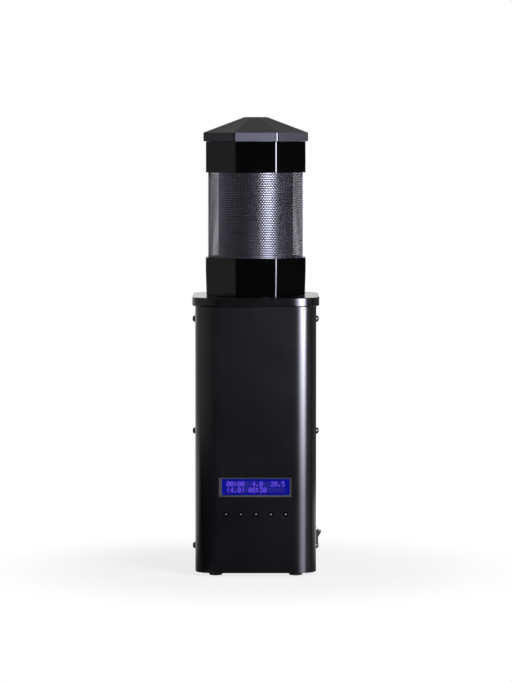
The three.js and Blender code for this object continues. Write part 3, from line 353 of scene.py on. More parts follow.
finishes = {  # darkest and lightest colour, range of roughness, and what departs from makeMaterial's defaults
    "satinPaint": (
        (0.0036, 0.0036, 0.0050), (0.0044, 0.0044, 0.0060), (0.15, 0.17),
        dict(anisotropic=0.5, ior=1.55, streak=(1, 1, 0.03), streakScale=500, bump=0.15, depth=0.01),
    ),
    "platePaint": (
        (0.0022, 0.0022, 0.0030), (0.0028, 0.0028, 0.0038), (0.155, 0.175),
        dict(specular=0.42, ior=1.55, bump=0.05, depth=0.01),
    ),
    "collectorPlastic": (
        (0.0006, 0.0006, 0.0007), (0.0010, 0.0010, 0.0011), (0.09, 0.11),
        dict(specular=0.37, grain=700, bump=0.03, depth=0.01),
    ),
    # the lid's slopes and top: partly the plastic's own matt grey, partly painted light from above, lighter
    # than the lid's own rim
    "capPlasticPaintedLight": ((0.036, 0.034, 0.035), (0.046, 0.0435, 0.045), (0.42, 0.52), dict(bump=0.25, depth=0.03)),
    "capEdge": (
        (0.007, 0.007, 0.008), (0.010, 0.010, 0.012), (0.60, 0.66),
        dict(specular=0.60, tint=(0.86, 0.87, 1.0), streak=(1, 1, 40), streakScale=40, bump=0.5, depth=0.1),
    ),
    "meshWire": (
        (0.006, 0.006, 0.0085), (0.008, 0.008, 0.011), (0.13, 0.16), dict(ior=1.71, tint=(0.92, 0.92, 1.0)),
    ),
    # the inner screen's cloth: partly its own dark cloth, partly painted shade, near black and almost without
    # gloss so the holes between the wires read dark
    "screenClothPaintedShade": (
        (0.003, 0.003, 0.004), (0.005, 0.005, 0.0065), (0.7, 0.8),
        dict(specular=0.03, grain=1600, bump=0.6, depth=0.1),
    ),
    "screwBlack": ((0.012, 0.012, 0.014), (0.022, 0.022, 0.024), (0.25, 0.4), dict(specular=0.6)),
    "footRubber": ((0.012, 0.012, 0.012), (0.022, 0.022, 0.022), (0.75, 0.9), dict(bump=0.4, depth=0.05)),
    "zincSheet": ((0.36, 0.37, 0.39), (0.48, 0.49, 0.51), (0.35, 0.5), dict(metallic=1, smudge=60, bump=0.1)),
    "drawnSteel": (
        (0.42, 0.42, 0.41), (0.55, 0.55, 0.54), (0.22, 0.34),
        dict(metallic=1, streak=(1, 1, 0.05), streakScale=400, bump=0.15, depth=0.03),
    ),
    "motorSteel": ((0.28, 0.28, 0.29), (0.38, 0.38, 0.39), (0.3, 0.42), dict(metallic=1)),
    "probeBrass": ((0.52, 0.38, 0.15), (0.66, 0.5, 0.22), (0.28, 0.4), dict(metallic=1)),
    "sealSilicone": ((0.26, 0.05, 0.03), (0.34, 0.07, 0.045), (0.6, 0.75), {}),
    "micaBoard": ((0.32, 0.27, 0.18), (0.46, 0.4, 0.3), (0.4, 0.6), dict(smudge=120)),
    "coilWire": ((0.22, 0.15, 0.11), (0.42, 0.3, 0.2), (0.3, 0.5), dict(metallic=1, smudge=90)),
    "ductNylon": ((0.03, 0.03, 0.032), (0.05, 0.05, 0.052), (0.45, 0.6), dict(bump=0.3, depth=0.04)),
    "bezelMetal": ((0.022, 0.022, 0.028), (0.032, 0.032, 0.040), (0.28, 0.38), {}),
    "displayGlass": (
        (0.001, 0.001, 0.012), (0.001, 0.0012, 0.016), (0.08, 0.1), dict(glow=(0.0030, 0.0045, 0.24), bump=0),
    ),
    "displayDots": (
        (0.02, 0.015, 0.05), (0.03, 0.022, 0.07), (0.3, 0.4), dict(glow=(0.115, 0.035, 0.88), bump=0),
    ),
    "displayCells": (
        (0.001, 0.001, 0.012), (0.0012, 0.0014, 0.018), (0.2, 0.3), dict(glow=(0.006, 0.0035, 0.20), bump=0),
    ),
    "circuitBoard": ((0.006, 0.055, 0.02), (0.01, 0.08, 0.03), (0.35, 0.5), dict(smudge=200)),
    "buttonPlastic": ((0.03, 0.03, 0.034), (0.045, 0.045, 0.05), (0.3, 0.4), dict(specular=0.35)),
    # painted shade: the button's shank and collar inside its hole, near black and without gloss
    "buttonPaintedShade": ((0.0008, 0.0008, 0.001), (0.0014, 0.0014, 0.0016), (0.6, 0.75), dict(specular=0)),
    "switchPlastic": ((0.008, 0.008, 0.009), (0.013, 0.013, 0.014), (0.25, 0.36), dict(bump=0.1)),
    "pinNickel": ((0.5, 0.49, 0.46), (0.6, 0.59, 0.56), (0.2, 0.3), dict(metallic=1)),
}
materials = {name: makeMaterial(name, *look, **rest) for name, (*look, rest) in finishes.items()}
print("materials ready:", len(materials))


# Mesh helpers: every size below is in millimetres
def makeObject(bm, name="tool", material=None):
    bmesh.ops.remove_doubles(bm, verts=bm.verts, dist=1e-7)
    bmesh.ops.recalc_face_normals(bm, faces=bm.faces)
    mesh = bpy.data.meshes.new(name)
    bm.to_mesh(mesh)
    bm.free()
    if material:
        mesh.materials.append(materials[material])
    return addObject(name, mesh)


def settle(obj):
    graph = bpy.context.evaluated_depsgraph_get()
    mesh = bpy.data.meshes.new_from_object(obj.evaluated_get(graph))
    obj.modifiers.clear()
    obj.data = mesh
    mesh.name = obj.name
    return obj


def shade(obj, angle=32):
    obj.data.shade_smooth()
    obj.data.set_sharp_from_angle(angle=math.radians(angle))
    obj.modifiers.new("even", "WEIGHTED_NORMAL").keep_sharp = True
    return settle(obj)


def combine(target, tool, operation="DIFFERENCE"):
    if not tool.data.materials:
        tool.data.materials.append(target.data.materials[0])
    modifier = target.modifiers.new("combine", "BOOLEAN")
    modifier.operation = operation
    modifier.object = tool
    modifier.solver = "EXACT"
    settle(target)
    bpy.data.objects.remove(tool)


def softEdges(obj, width, segments=3, angle=40):
    bevel = obj.modifiers.new("edges", "BEVEL")
    bevel.width = width * mm
    bevel.segments = segments
    bevel.limit_method = "ANGLE"
    bevel.angle_limit = math.radians(angle)
    return settle(obj)


def rounded(points, radius, steps=4, closed=False):
    result = []
    for i, (x, y) in enumerate(points):
        if not closed and i in (0, len(points) - 1):
            result.append((x, y))
            continue
        here = Vector((x, y))
        toBefore = Vector(points[i - 1]) - here
        toAfter = Vector(points[(i + 1) % len(points)]) - here
        cut = min(radius, toBefore.length * 0.45, toAfter.length * 0.45)
        start = here + toBefore.normalized() * cut
        end = here + toAfter.normalized() * cut
        for k in range(steps + 1):
            t = k / steps
            result.append(tuple(start * (1 - t) ** 2 + here * 2 * t * (1 - t) + end * t**2))
    return result


def addTurned(bm, profile, steps=96, matrix=Matrix.Identity(4)):
    rings = []
    for radius, height in profile:
        ring = []
        for i in range(1 if radius == 0 else steps):
            angle = 2 * math.pi * i / steps
            corner = Vector((radius * math.cos(angle), radius * math.sin(angle), height)) * mm
            ring.append(bm.verts.new(matrix @ corner))
        rings.append(ring)
    pairs = list(zip(rings, rings[1:]))
    if profile[0][0] or profile[-1][0]:
        pairs.append((rings[-1], rings[0]))
    for low, high in pairs:
        for i in range(steps):
            k = (i + 1) % steps
            corners = [low[i % len(low)], low[k % len(low)], high[k % len(high)], high[i % len(high)]]
            corners = list(dict.fromkeys(corners))
            if len(corners) > 2:
                bm.faces.new(corners)


def turned(profile, name="tool", material=None, steps=96, matrix=Matrix.Identity(4)):
    bm = bmesh.new()
    addTurned(bm, profile, steps, matrix)
    return makeObject(bm, name, material)


def roundBar(radius, low, high):
    return [(0, low), (radius, low), (radius, high), (0, high)]


def roundTool(profile):
    return turned(profile, steps=128)


def toward(place, direction):
    turn = Vector((0, 0, 1)).rotation_difference(Vector(direction)).to_matrix().to_4x4()
    return Matrix.Translation(Vector(place) * mm) @ turn


def rods(ends, radius, steps=32):
    # round bars in one tool, each from its start to its end
    bm = bmesh.new()
    for start, end in ends:
        run = Vector(end) - Vector(start)
        addTurned(bm, roundBar(radius, 0, run.length), steps, toward(start, run))
    return makeObject(bm)


def addStack(bm, rings):
    # rings of as many corners each, joined one to the next and closed at both ends
    rings = [[bm.verts.new((x * mm, y * mm, z * mm)) for x, y, z in ring] for ring in rings]
    for low, high in zip(rings, rings[1:]):
        for i in range(len(low)):
            k = (i + 1) % len(low)
            bm.faces.new((low[i], low[k], high[k], high[i]))
    bm.faces.new(rings[0])
    bm.faces.new(rings[-1])


def stacked(outlines, name="tool", material=None):
    bm = bmesh.new()
    addStack(bm, [[(x, y, z) for x, y in points] for points, z in outlines])
    return makeObject(bm, name, material)


def prism(points, low, high, name="tool", material=None):
    return stacked([(points, low), (points, high)], name, material)


def addAcross(bm, points, front, back):
    # an outline of (x, z) points, run along Y
    addStack(bm, [[(x, y, z) for x, z in points] for y in (front, back)])


def about(middle, half):
    return middle - half, middle + half


def block(xs, ys, zs, name="tool", material=None):
    corners = [(xs[0], ys[0]), (xs[1], ys[0]), (xs[1], ys[1]), (xs[0], ys[1])]
    return prism(corners, *zs, name, material)


def spread(row):
    return [(i - (row.count - 1) / 2) * row.pitch for i in range(row.count)]


def arc(centre, radius, start, end, steps):
    angles = [math.radians(start + (end - start) * i / steps) for i in range(steps + 1)]
    return [(centre[0] + radius * math.cos(a), centre[1] + radius * math.sin(a)) for a in angles]


boxCorners = ((1, -1, -90), (1, 1, 0), (-1, 1, 90), (-1, -1, 180))  # sides in x and y, and the corner's start


def roundedBox(halfX, halfY, radius, steps=20):
    points = []
    for sx, sy, start in boxCorners:
        points += arc((sx * (halfX - radius), sy * (halfY - radius)), radius, start, start + 90, steps)
    return points


def softCorner(centre, start, offset, reach, steps=40):
    # a quarter turn that eases into the flat walls, set outwards by the offset
    power, eased = body.pick("cornerPower cornerEase")
    points = []
    for i in range(steps + 1):
        share = 2 * i / steps
        facing = math.pi / 4 * (share**eased if share < 1 else 2 - (2 - share) ** eased)
        x, y = 0.0, 1.0
        if i < steps:
            ratio = math.tan(facing) ** (1 / (power - 1))
            x = (1 + ratio**power) ** (-1 / power)
            y = x * ratio
        point = Vector((reach * x + offset * math.cos(facing), reach * y + offset * math.sin(facing)))
        point = Matrix.Rotation(math.radians(start), 2) @ point
        points.append((centre[0] + point.x, centre[1] + point.y))
    return points


def softBoxOutline(halfX, halfY, offset, reach):
    points = []
    for sx, sy, start in boxCorners:
        centre = (sx * (halfX - offset - reach), sy * (halfY - offset - reach))
        points += softCorner(centre, start, offset, reach)
    return points


def octagon(across, cornerRadius, steps=6):
    outer = across / 2 / math.cos(math.pi / 8)
    return rounded(arc((0, 0), outer, 22.5, 337.5, 7), cornerRadius, steps, closed=True)


def place(obj, slot, *nodes, body="housing"):
    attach(obj, body)
    if nodes:
        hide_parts(*nodes)


gap = 0.3  # clearance between two pieces that touch
overrun = 3.0  # how far a tool runs past what it cuts


# Sheet-metal body
body = Values(
    half=59.0, cornerReach=23.4, cornerPower=2.75, cornerEase=1.7, sheet=1.6, low=4.0, high=263.0,
    seamY=-8.0, lap=26.0, tongueLow=6.3, nut=4.0, screwY=-22.0, screwHeights=(26.9, 139.86, 249.7),
    screwHole=2.2, edge=0.25, stud=58.2,
)
windowCut = Values(width=71.3, height=19.2, z=87.9)
buttonRow = Values(count=5, pitch=14.5, z=61.3, holeRadius=2.55)
vents = Values(count=9, width=3.0, length=30.0, pitch=8.0, z=221.3)
displayStuds = Values(radius=2.0, x=37.5, z=(72.4, 103.4), length=7.7)
buttonStuds = Values(x=36.0, z=(61.3,), length=9.0)
boardStuds = Values(radius=2.5, x=37.0, z=(113.0, 191.0), length=10.5)
rocker = Values(
    x=58.2, y=20.0, z=31.1, face=6.4, tilt=15.0, pivotDepth=4.0, endDepth=4.0, width=8.0, hub=(-1.6, 2.6),
    stub=1.1, bezel=0.8, marginY=1.5, marginZ=1.4, caseDepth=13.0, caseWall=1.5, wellDepth=3.4,
    edge=0.45, bezelEdge=0.3, axleEnd=1.0,
)
inlet = Values(
    x=-24.0, z=38.0, width=24.0, height=16.0, depth=16.0, wall=1.6, back=2.5, flange=2.0, marginX=2.0,
    marginZ=2.2, pinPitch=7.0, pinHalf=(1.0, 2.0), pinLength=14.0, pinRises=(-0.6, 3.4, -0.6),
    flangeEdge=0.6, socketRound=0.8, pinEdge=0.4, pinRoot=1.0,
)


def sheetOutline(legEnd):
    half, sheet, reach = body.pick("half sheet cornerReach")
    right = (half - reach, reach - half)
    left = (-right[0], right[1])
    points = [(half, legEnd), (half - sheet, legEnd)]
    points += reversed(softCorner(right, -90, -sheet, reach))
    points += reversed(softCorner(left, 180, -sheet, reach))
    points += [(sheet - half, legEnd), (-half, legEnd)]
    points += softCorner(left, 180, 0, reach)
    points += softCorner(right, -90, 0, reach)
    return points


def sideDrills():
    end, y = body.half + overrun, body.screwY
    return rods([((-end, y, z), (end, y, z)) for z in body.screwHeights], body.screwHole, 40)


def studEnds(form, start):
    end = start + form.length
    return [((x, start, z), (x, end, z)) for x in (-form.x, form.x) for z in form.z]


def finishShell(shell, node):
    softEdges(shell, body.edge, 2, 50)
    place(shade(shell), "black_paint", node)


def makeFrontShell():
    shell = prism(sheetOutline(body.seamY), body.low, body.high, "frontShell", "satinPaint")
    wall = about(-body.half + body.sheet / 2, body.sheet / 2 + overrun)
    width, height, z = windowCut.pick("width height z")
    combine(shell, block(about(0, width / 2), wall, about(z, height / 2)))
    z = buttonRow.z
    holes = [((x, wall[0], z), (x, wall[1], z)) for x in spread(buttonRow)]
    combine(shell, rods(holes, buttonRow.holeRadius, 40))
    combine(shell, sideDrills())
    studs = studEnds(displayStuds, -body.stud) + studEnds(buttonStuds, -body.stud)
    combine(shell, rods(studs, displayStuds.radius), "UNION")
    finishShell(shell, "front_shell")


def makeRearShell():
    half, sheet, seam, lap = body.pick("half sheet seamY lap")
    leg = seam + gap
    wall = about(half - sheet / 2, sheet / 2 + overrun)
    outline = [(x, -y) for x, y in sheetOutline(-leg)]
    shell = prism(outline, body.low, body.high, "rearShell", "satinPaint")
    outside, inside = half - sheet - gap, half - 2 * sheet - gap
    for side in (-1, 1):
        points = [(inside, seam - lap), (outside, seam - lap), (outside, leg)]
        points += [(half, leg), (half, leg + sheet), (inside, leg + sheet)]
        points = [(side * x, y) for x, y in points]
        combine(shell, prism(points, body.tongueLow, body.high), "UNION")
        y, z = body.screwY, body.screwHeights[1]
        nut = ((side * (inside - 3), y, z), (side * (inside + sheet / 2), y, z))
        combine(shell, rods([nut], body.nut, 48), "UNION")
    combine(shell, sideDrills())
    slots = bmesh.new()
    halfSlot = vents.width / 2
    for x in spread(vents):
        points = roundedBox(halfSlot, vents.length / 2, halfSlot - 0.001, 8)
        addAcross(slots, [(x + px, vents.z + pz) for px, pz in points], *wall)
    combine(shell, makeObject(slots))
    caseY, caseZ = switchCaseHalves()
    combine(shell, block(wall, about(rocker.y, caseY + gap), about(rocker.z, caseZ + gap)))
    halfX, halfZ = (side / 2 + inlet.wall + gap for side in inlet.pick("width height"))
    combine(shell, block(about(inlet.x, halfX), wall, about(inlet.z, halfZ)))
    studs = studEnds(boardStuds, body.stud - boardStuds.length)
    combine(shell, rods(studs, boardStuds.radius), "UNION")
    finishShell(shell, "rear_shell")


def rockerReach():
    tilt = math.radians(rocker.tilt)
    tipZ = rocker.face * math.cos(tilt)
    tipX = rocker.pivotDepth + rocker.face * math.sin(tilt)
    return tipZ, tipX, tipZ + rocker.endDepth * math.sin(tilt), tipX - rocker.endDepth * math.cos(tilt)


def switchCaseHalves():
    endZ, endX = rockerReach()[2:]
    extra = gap + rocker.caseWall
    return rocker.width / 2 + extra, math.hypot(endZ, endX) + extra


plate = Values(
    half=62.0, cornerReach=31.0, low=263.3, high=271.9, edge=0.9, frameX=55.2, frameY=57.1, rimWall=2.4,
    rimDrop=4.0, lug=(7.0, 9.0, 20.0), bore=32.5, seat=35.9, seatZ=266.3,
)


def makeTopPlate():
    half, edge, low, high, reach = plate.pick("half edge low high cornerReach")
    levels = []
    for k in range(6):
        angle = math.pi / 2 * k / 5
        levels.append((edge * (1 - math.sin(angle)), low + edge * (1 - math.cos(angle))))
    levels += [(inset, low + high - z) for inset, z in reversed(levels)]
    outlines = [(softBoxOutline(half - inset, half - inset, -inset, reach), z) for inset, z in levels]
    top = stacked(outlines, "topPlate", "platePaint")
    frameX, frameY, wall, drop = plate.pick("frameX frameY rimWall rimDrop")
    inset = body.sheet + gap
    outer = softBoxOutline(frameX, frameY, -inset, body.cornerReach)
    inner = softBoxOutline(frameX - wall, frameY - wall, -inset - wall, body.cornerReach)
    rim = prism(outer, low - drop, low + drop, "tool", "platePaint")
    combine(rim, prism(inner, low - drop - overrun, low))
    combine(top, rim, "UNION")
    lugX, lugY, lugZ = plate.lug
    for side in (-1, 1):
        xs = sorted((side * (frameX - lugX), side * frameX))
        combine(top, block(xs, about(body.screwY, lugY), (low - lugZ, low + drop)), "UNION")
    combine(top, sideDrills())
    bore, seat, seatZ = plate.pick("bore seat seatZ")
    low, high = low - drop - overrun, high + overrun
    combine(top, roundTool([(0, low), (bore, low), (bore, seatZ), (seat, seatZ), (seat, high), (0, high)]))
    place(shade(top), "black_paint", "top_plate")


makeFrontShell()
makeRearShell()
makeTopPlate()
print("body ready")


# Screws and feet, set out by Geometry Nodes
sideScrew = Values(
    headRadius=3.25, headHeight=2.7, shankRadius=1.9, shankLength=9.0, chamfer=0.4, socket=1.6,
    socketDepth=1.3,
)
foot = Values(
    radius=7.0, taper=0.8, height=4.0, stemRadius=2.2, stemHeight=2.3, headRadius=3.1, headHeight=1.6,
    reach=39.0, edge=0.5,
)


def newGeometryTree(name, inputs):
    inputs = {"Geometry": "Geometry", **inputs, "Material": "Material"}
    return newTree(name, "GeometryNodeTree", inputs, {"Geometry": "Geometry"})


def finishTree(tree, geometry, given, result):
    realized = geometryNode(tree, "RealizeInstances", {0: geometry})
    fed = {"Geometry": realized, "Material": given["Material"]}
    feed(tree, geometryNode(tree, "SetMaterial", fed), result["Geometry"])


def applyTree(obj, tree, values, material):
    values = {**values, "Material": materials[material]}
    modifier = obj.modifiers.new(tree.name, "NODES")
    modifier.node_group = tree
    for item in tree.interface.items_tree:
        if item.item_type == "SOCKET" and item.in_out == "INPUT" and item.name in values:
            modifier[item.identifier] = values[item.name]
    return settle(obj)


def makeScrewTree(values):
    tree, given, result = newGeometryTree("screwColumns", values)
    joined = geometryNode(tree, "JoinGeometry")
    middle = mathNode(tree, "COMPARE", geometryNode(tree, "InputIndex"), 1)
    shift = vectorNode(tree, z=times(tree, middle, given["Middle Shift"]))
    for side in (1, -1):
        x = times(tree, given["Wall Distance"], side)
        start, end = (vectorNode(tree, x, given["Row Y"], given[height]) for height in ("Lowest", "Highest"))
        fed = {"Count": 3, "Start Location": start, "Offset": end}
        line = geometryNode(tree, "MeshLine", fed, mode="END_POINTS")
        moved = geometryNode(tree, "SetPosition", {"Geometry": line, "Offset": shift})
        fed = {"Points": moved, "Instance": given["Geometry"], "Rotation": (0, 0, 0 if side > 0 else math.pi)}
        feed(tree, geometryNode(tree, "InstanceOnPoints", fed), joined.inputs[0])
    finishTree(tree, joined, given, result)
    return tree


def makeScrews():
    radius, height = sideScrew.pick("headRadius headHeight")
    shank, length, chamfer = sideScrew.pick("shankRadius shankLength chamfer")
    top = gap + height
    profile = [(0, -length), (shank - chamfer, -length), (shank, chamfer - length), (shank, gap)]
    for angle in range(0, 90, 6):
        turn = math.radians(angle)
        profile.append((radius * math.cos(turn), gap + height * math.sin(turn)))
    screw = turned([*profile, (0, top)], "sideScrews", "screwBlack", 48)
    corners = arc((0, 0), sideScrew.socket, 0, 300, 5)
    combine(screw, prism(corners, top - sideScrew.socketDepth, top + overrun))
    shade(screw)
    screw.data.transform(Matrix.Rotation(math.radians(90), 4, "Y"))
    low, middle, high = body.screwHeights
    values = {
        "Wall Distance": body.half * mm, "Row Y": body.screwY * mm, "Lowest": low * mm,
        "Highest": high * mm, "Middle Shift": (middle - (low + high) / 2) * mm,
    }
    applyTree(screw, makeScrewTree(values), values, "screwBlack")
    sides, levels = ("left", "right"), ("bottom", "middle", "top")
    place(screw, "screw_black", *[f"side_screw_{side}_{level}" for side in sides for level in levels])


def makeFootTree():
    tree, given, result = newGeometryTree("footGrid", {"Reach": 0.039})
    span = times(tree, given["Reach"], 2)
    fed = {"Size X": span, "Size Y": span, "Vertices X": 2, "Vertices Y": 2}
    fed = {"Points": geometryNode(tree, "MeshGrid", fed), "Instance": given["Geometry"]}
    finishTree(tree, geometryNode(tree, "InstanceOnPoints", fed), given, result)
    return tree


def makeFeet():
    radius, height, stem, head = foot.pick("radius height stemRadius headRadius")
    stemTop = height + foot.stemHeight
    headTop = stemTop + foot.headHeight
    profile = [(0, 0), (radius - foot.taper, 0), (radius, height - gap), (stem, height - gap)]
    profile += [(stem, stemTop), (head, stemTop), (stem, headTop), (0, headTop)]
    feet = shade(turned(rounded(profile, foot.edge, 3), "feet", "footRubber", 64), 60)
    applyTree(feet, makeFootTree(), {"Reach": foot.reach * mm}, "footRubber")
    corners = ("front_left", "front_right", "rear_left", "rear_right")
    place(feet, "foot_rubber", *[f"foot_{corner}" for corner in corners])


makeScrews()
makeFeet()
print("screws and feet ready")


# Display and buttons
display = Values(
    z=87.9, front=-57.1, litWidth=65.7, litHeight=15.7, bezelWidth=75.5, bezelHeight=24.3, bezelDepth=6.6,
    face=0.8, wall=1.2, dot=(0.56, 0.66), dotPitch=(0.60, 0.70), cellPitch=(3.55, 5.95), columns=16,
    litProud=0.10, cellProud=0.04, lines=("00:00  4.0  20.5", "(4.0) 08:30"),
    bezelEdge=0.3, paneEdge=0.2,
)
dotRows = {  # five-by-seven characters, top row first
    "0": "01110 10001 10011 10101 11001 10001 01110",
    "2": "01110 10001 00001 00010 00100 01000 11111",
    "3": "11111 00010 00100 00010 00001 10001 01110",
    "4": "00010 00110 01010 10010 11111 00010 00010",
    "5": "11111 10000 11110 00001 00001 10001 01110",
    "8": "01110 10001 10001 01110 10001 10001 01110",
    ".": "00000 00000 00000 00000 00000 01100 01100",
    ":": "00000 01100 01100 00000 01100 01100 00000",
    "(": "00010 00100 01000 01000 01000 00100 00010",
    ")": "01000 00100 00010 00010 00010 00100 01000",
    " ": "00000 00000 00000 00000 00000 00000 00000",
}


def makeDotTree():
    tree, given, result = newGeometryTree("dotField", {"Dot Size": (0.00056, 0.0001, 0.00066)})
    tile = geometryNode(tree, "MeshCube", {"Size": given["Dot Size"]})
    fed = {"Points": given["Geometry"], "Instance": tile}
    finishTree(tree, geometryNode(tree, "InstanceOnPoints", fed), given, result)
    return tree


def displayPoints(surface):
    # the middles of the lit dots and of the dark ones, for every character of both lines
    points = {"1": [], "0": []}
    (cellX, cellZ), (dotX, dotZ) = display.cellPitch, display.dotPitch
    columns = display.columns
    for row, text in enumerate(display.lines):
        top = display.z + (0.5 - row) * cellZ + 3 * dotZ
        for column, character in enumerate(text.ljust(columns)):
            left = (column - (columns - 1) / 2) * cellX - 2 * dotX
            for r, dots in enumerate(dotRows[character].split()):
                for c, state in enumerate(dots):
                    points[state].append((left + c * dotX, surface, top - r * dotZ))
    return points["1"], points["0"]


def makeDisplay():
    z, front, face, wall, depth = display.pick("z front face wall bezelDepth")
    halfW, halfH = display.bezelWidth / 2, display.bezelHeight / 2
    bezel = block(about(0, halfW), (front, front + depth), about(z, halfH), "displayBezel", "bezelMetal")
    hollow = (front + face, front + depth + overrun)
    combine(bezel, block(about(0, halfW - wall), hollow, about(z, halfH - wall)))
    window = about(front + face / 2, face / 2 + overrun)
    combine(bezel, block(about(0, display.litWidth / 2), window, about(z, display.litHeight / 2)))
    place(shade(softEdges(bezel, display.bezelEdge)), "bezel_metal", "display_bezel")
    surface = front + face + gap
    paneX, paneZ = about(0, halfW - wall - gap), about(z, halfH - wall - gap)
    pane = block(paneX, (surface, front + depth), paneZ, "displayPane", "displayGlass")
    place(shade(softEdges(pane, display.paneEdge, 2)), "lit_panel", "display_panel")
    tree = makeDotTree()
    litPoints, cellPoints = displayPoints(surface)
    for name, points, proud in (
        ("displayDots", litPoints, display.litProud),
        ("displayCells", cellPoints, display.cellProud),
    ):
        mesh = bpy.data.meshes.new(name)
        mesh.from_pydata([tuple(v * mm for v in point) for point in points], [], [])
        obj = addObject(name, mesh)
        size = (display.dot[0] * mm, proud * 2 * mm, display.dot[1] * mm)
        place(applyTree(obj, tree, {"Dot Size": size}, name), "lit_panel")


pushButton = Values(
    stem=1.35, proud=0.4, collar=3.0, collarLow=1.9, collarHigh=2.9, end=7.7, dome=0.65, cap=0.3,
)


def makeButtons():
    stem, proud, end, dome = pushButton.pick("stem proud end dome")
    collar, low, high = pushButton.pick("collar collarLow collarHigh")
    profile = [(0, end), (stem, end), (stem, high), (collar, high), (collar, low), (stem, low)]
    profile += [(stem, dome - proud)]
    for angle in range(0, 90, 10):
        turn = math.radians(angle)
        profile.append((stem * math.cos(turn), -proud + dome * (1 - math.sin(turn))))
    profile.append((0, -proud))
    for i, x in enumerate(spread(buttonRow)):
        matrix = toward((x, -body.half, buttonRow.z), (0, 1, 0))
        # the whole button starts as painted shade, near black and without gloss; only the front of the dome,
        # outside the hole, takes the grey button plastic
        button = turned(profile, f"button{i + 1}", "buttonPaintedShade", 48, matrix)
        button.data.materials.append(materials["buttonPlastic"])
        for face in button.data.polygons:
            if face.center.y < (pushButton.cap - body.half) * mm:
                face.material_index = 1
        place(shade(button), "button_plastic", f"button_{i + 1}", body=f"push_button_{i + 1}")


makeDisplay()
makeButtons()
print("display and buttons ready")


# Power switch and mains inlet
def makeRocker():
    tipZ, tipX, endZ, endX = rockerReach()
    hubX, hubZ = rocker.hub
    half = rocker.width / 2
    outline = [(hubX, -hubZ), (endX, -endZ), (tipX, -tipZ), (rocker.pivotDepth, 0)]
    outline += [(tipX, tipZ), (endX, endZ), (hubX, hubZ)]
    bm = bmesh.new()
    addAcross(bm, outline, -half, half)
    tip = softEdges(makeObject(bm, "powerRocker", "switchPlastic"), rocker.edge, 4, 30)
    axle = half + rocker.axleEnd
    combine(tip, rods([((0, -axle, 0), (0, axle, 0))], rocker.stub), "UNION")
    shade(tip)
    turn = Matrix.Rotation(math.radians(rocker.tilt), 4, "Y")
    tip.data.transform(Matrix.Translation(Vector(rocker.pick("x y z")) * mm) @ turn)
    place(tip, "switch_plastic", "power_rocker", body="rocker")


def makeSwitchHousing():
    caseY, caseZ = switchCaseHalves()
    x, y, z, thick = rocker.pick("x y z caseWall")
    wall = body.half + gap
    face = wall + rocker.bezel
    rimY, rimZ = about(y, caseY + rocker.marginY), about(z, caseZ + rocker.marginZ)
    case = softEdges(block((wall, face), rimY, rimZ, "switchHousing", "switchPlastic"), rocker.bezelEdge, 4)
    depth = (x - rocker.caseDepth, wall + rocker.bezel / 2)
    combine(case, block(depth, about(y, caseY), about(z, caseZ)), "UNION")
    well = (x - rocker.wellDepth, face + overrun)
    combine(case, block(well, about(y, caseY - thick), about(z, caseZ - thick)))
    reach = rocker.width / 2 + rocker.axleEnd + gap
    combine(case, rods([((x, y - reach, z), (x, y + reach, z))], rocker.stub + gap))
    place(shade(case), "switch_plastic", "switch_housing")


def makeInlet():
    x, z, wall = inlet.pick("x z wall")
    cutX, cutZ = inlet.width / 2, inlet.height / 2
    back = body.half + gap
    face = back + inlet.flange
    floorY = face - inlet.depth
    flangeX, flangeZ = about(x, cutX + wall + inlet.marginX), about(z, cutZ + wall + inlet.marginZ)
    case = block(flangeX, (back, face), flangeZ, "mainsInlet", "switchPlastic")
    softEdges(case, inlet.flangeEdge, 4)
    shell = (floorY - inlet.back, face - inlet.flange / 2)
    combine(case, block(about(x, cutX + wall), shell, about(z, cutZ + wall)), "UNION")
    chamfer = cutZ / 3
    points = [(-cutX, -cutZ), (cutX, -cutZ), (cutX, cutZ - chamfer), (cutX - chamfer, cutZ)]
    points += [(chamfer - cutX, cutZ), (-cutX, cutZ - chamfer)]
    socket = bmesh.new()
    points = rounded(points, inlet.socketRound, 4, closed=True)
    addAcross(socket, [(x + px, z + pz) for px, pz in points], floorY, face + overrun)
    combine(case, makeObject(socket))
    place(shade(case), "switch_plastic", "mains_inlet")
    halfX, halfZ = inlet.pinHalf
    for i, rise in enumerate(inlet.pinRises):
        xs = about(x + (i - 1) * inlet.pinPitch, halfX)
        ys = (floorY - inlet.pinRoot, floorY + inlet.pinLength)
        pin = block(xs, ys, about(z + rise, halfZ), f"inletPin{i + 1}", "pinNickel")
        place(shade(softEdges(pin, inlet.pinEdge)), "switch_plastic")


makeRocker()
makeSwitchHousing()
makeInlet()
print("switch and inlet ready")


# Chaff collector
collector = Values(
    base=271.9, cupTop=97.7, cupBottom=96.3, cupHeight=37.6, taperHeight=24.5, floor=2.6, cornerCut=1.3,
    edge=0.35, rebateRadius=47.05, rebate=8.0, chaffRadius=43.65, riserRadius=25.0, riserWall=2.0,
    riserTop=34.0, spigotRadius=31.0, spigotOuter=35.6, spigotLow=-1.9, ringAcross=97.3, ringBottom=120.5,
    ringTop=150.6, bowlRound=2.0, pipeRound=0.4, pipeRoot=0.6,
)
chaffScreen = Values(radius=36.8, wall=0.6, low=275.1, high=411.5, hem=3.0, hemDepth=0.5, seat=1.5, edge=0.2)
capForm = Values(
    rim=102.1, rimHeight=8.9, slope=15.0, top=22.2, wall=2.4, plugDepth=9.0, slack=0.5, plugWall=2.2,
    edge=0.3, cornerCut=1.2, slopeEnds=(0.02, 0.98), topCut=1.0, plugRoot=4.0, plugRound=0.6,
    rimBand=(0.25, 8.95), rimShare=0.45, rimSteepest=0.6, glossyTurn=2.0,
)


def placeCollector(obj, slot, node, angle=32):
    place(shade(obj, angle), slot, node, body="chaff_collector")


def octagonStack(levels, name, material):
    return stacked([(octagon(across, collector.cornerCut), z) for across, z in levels], name, material)


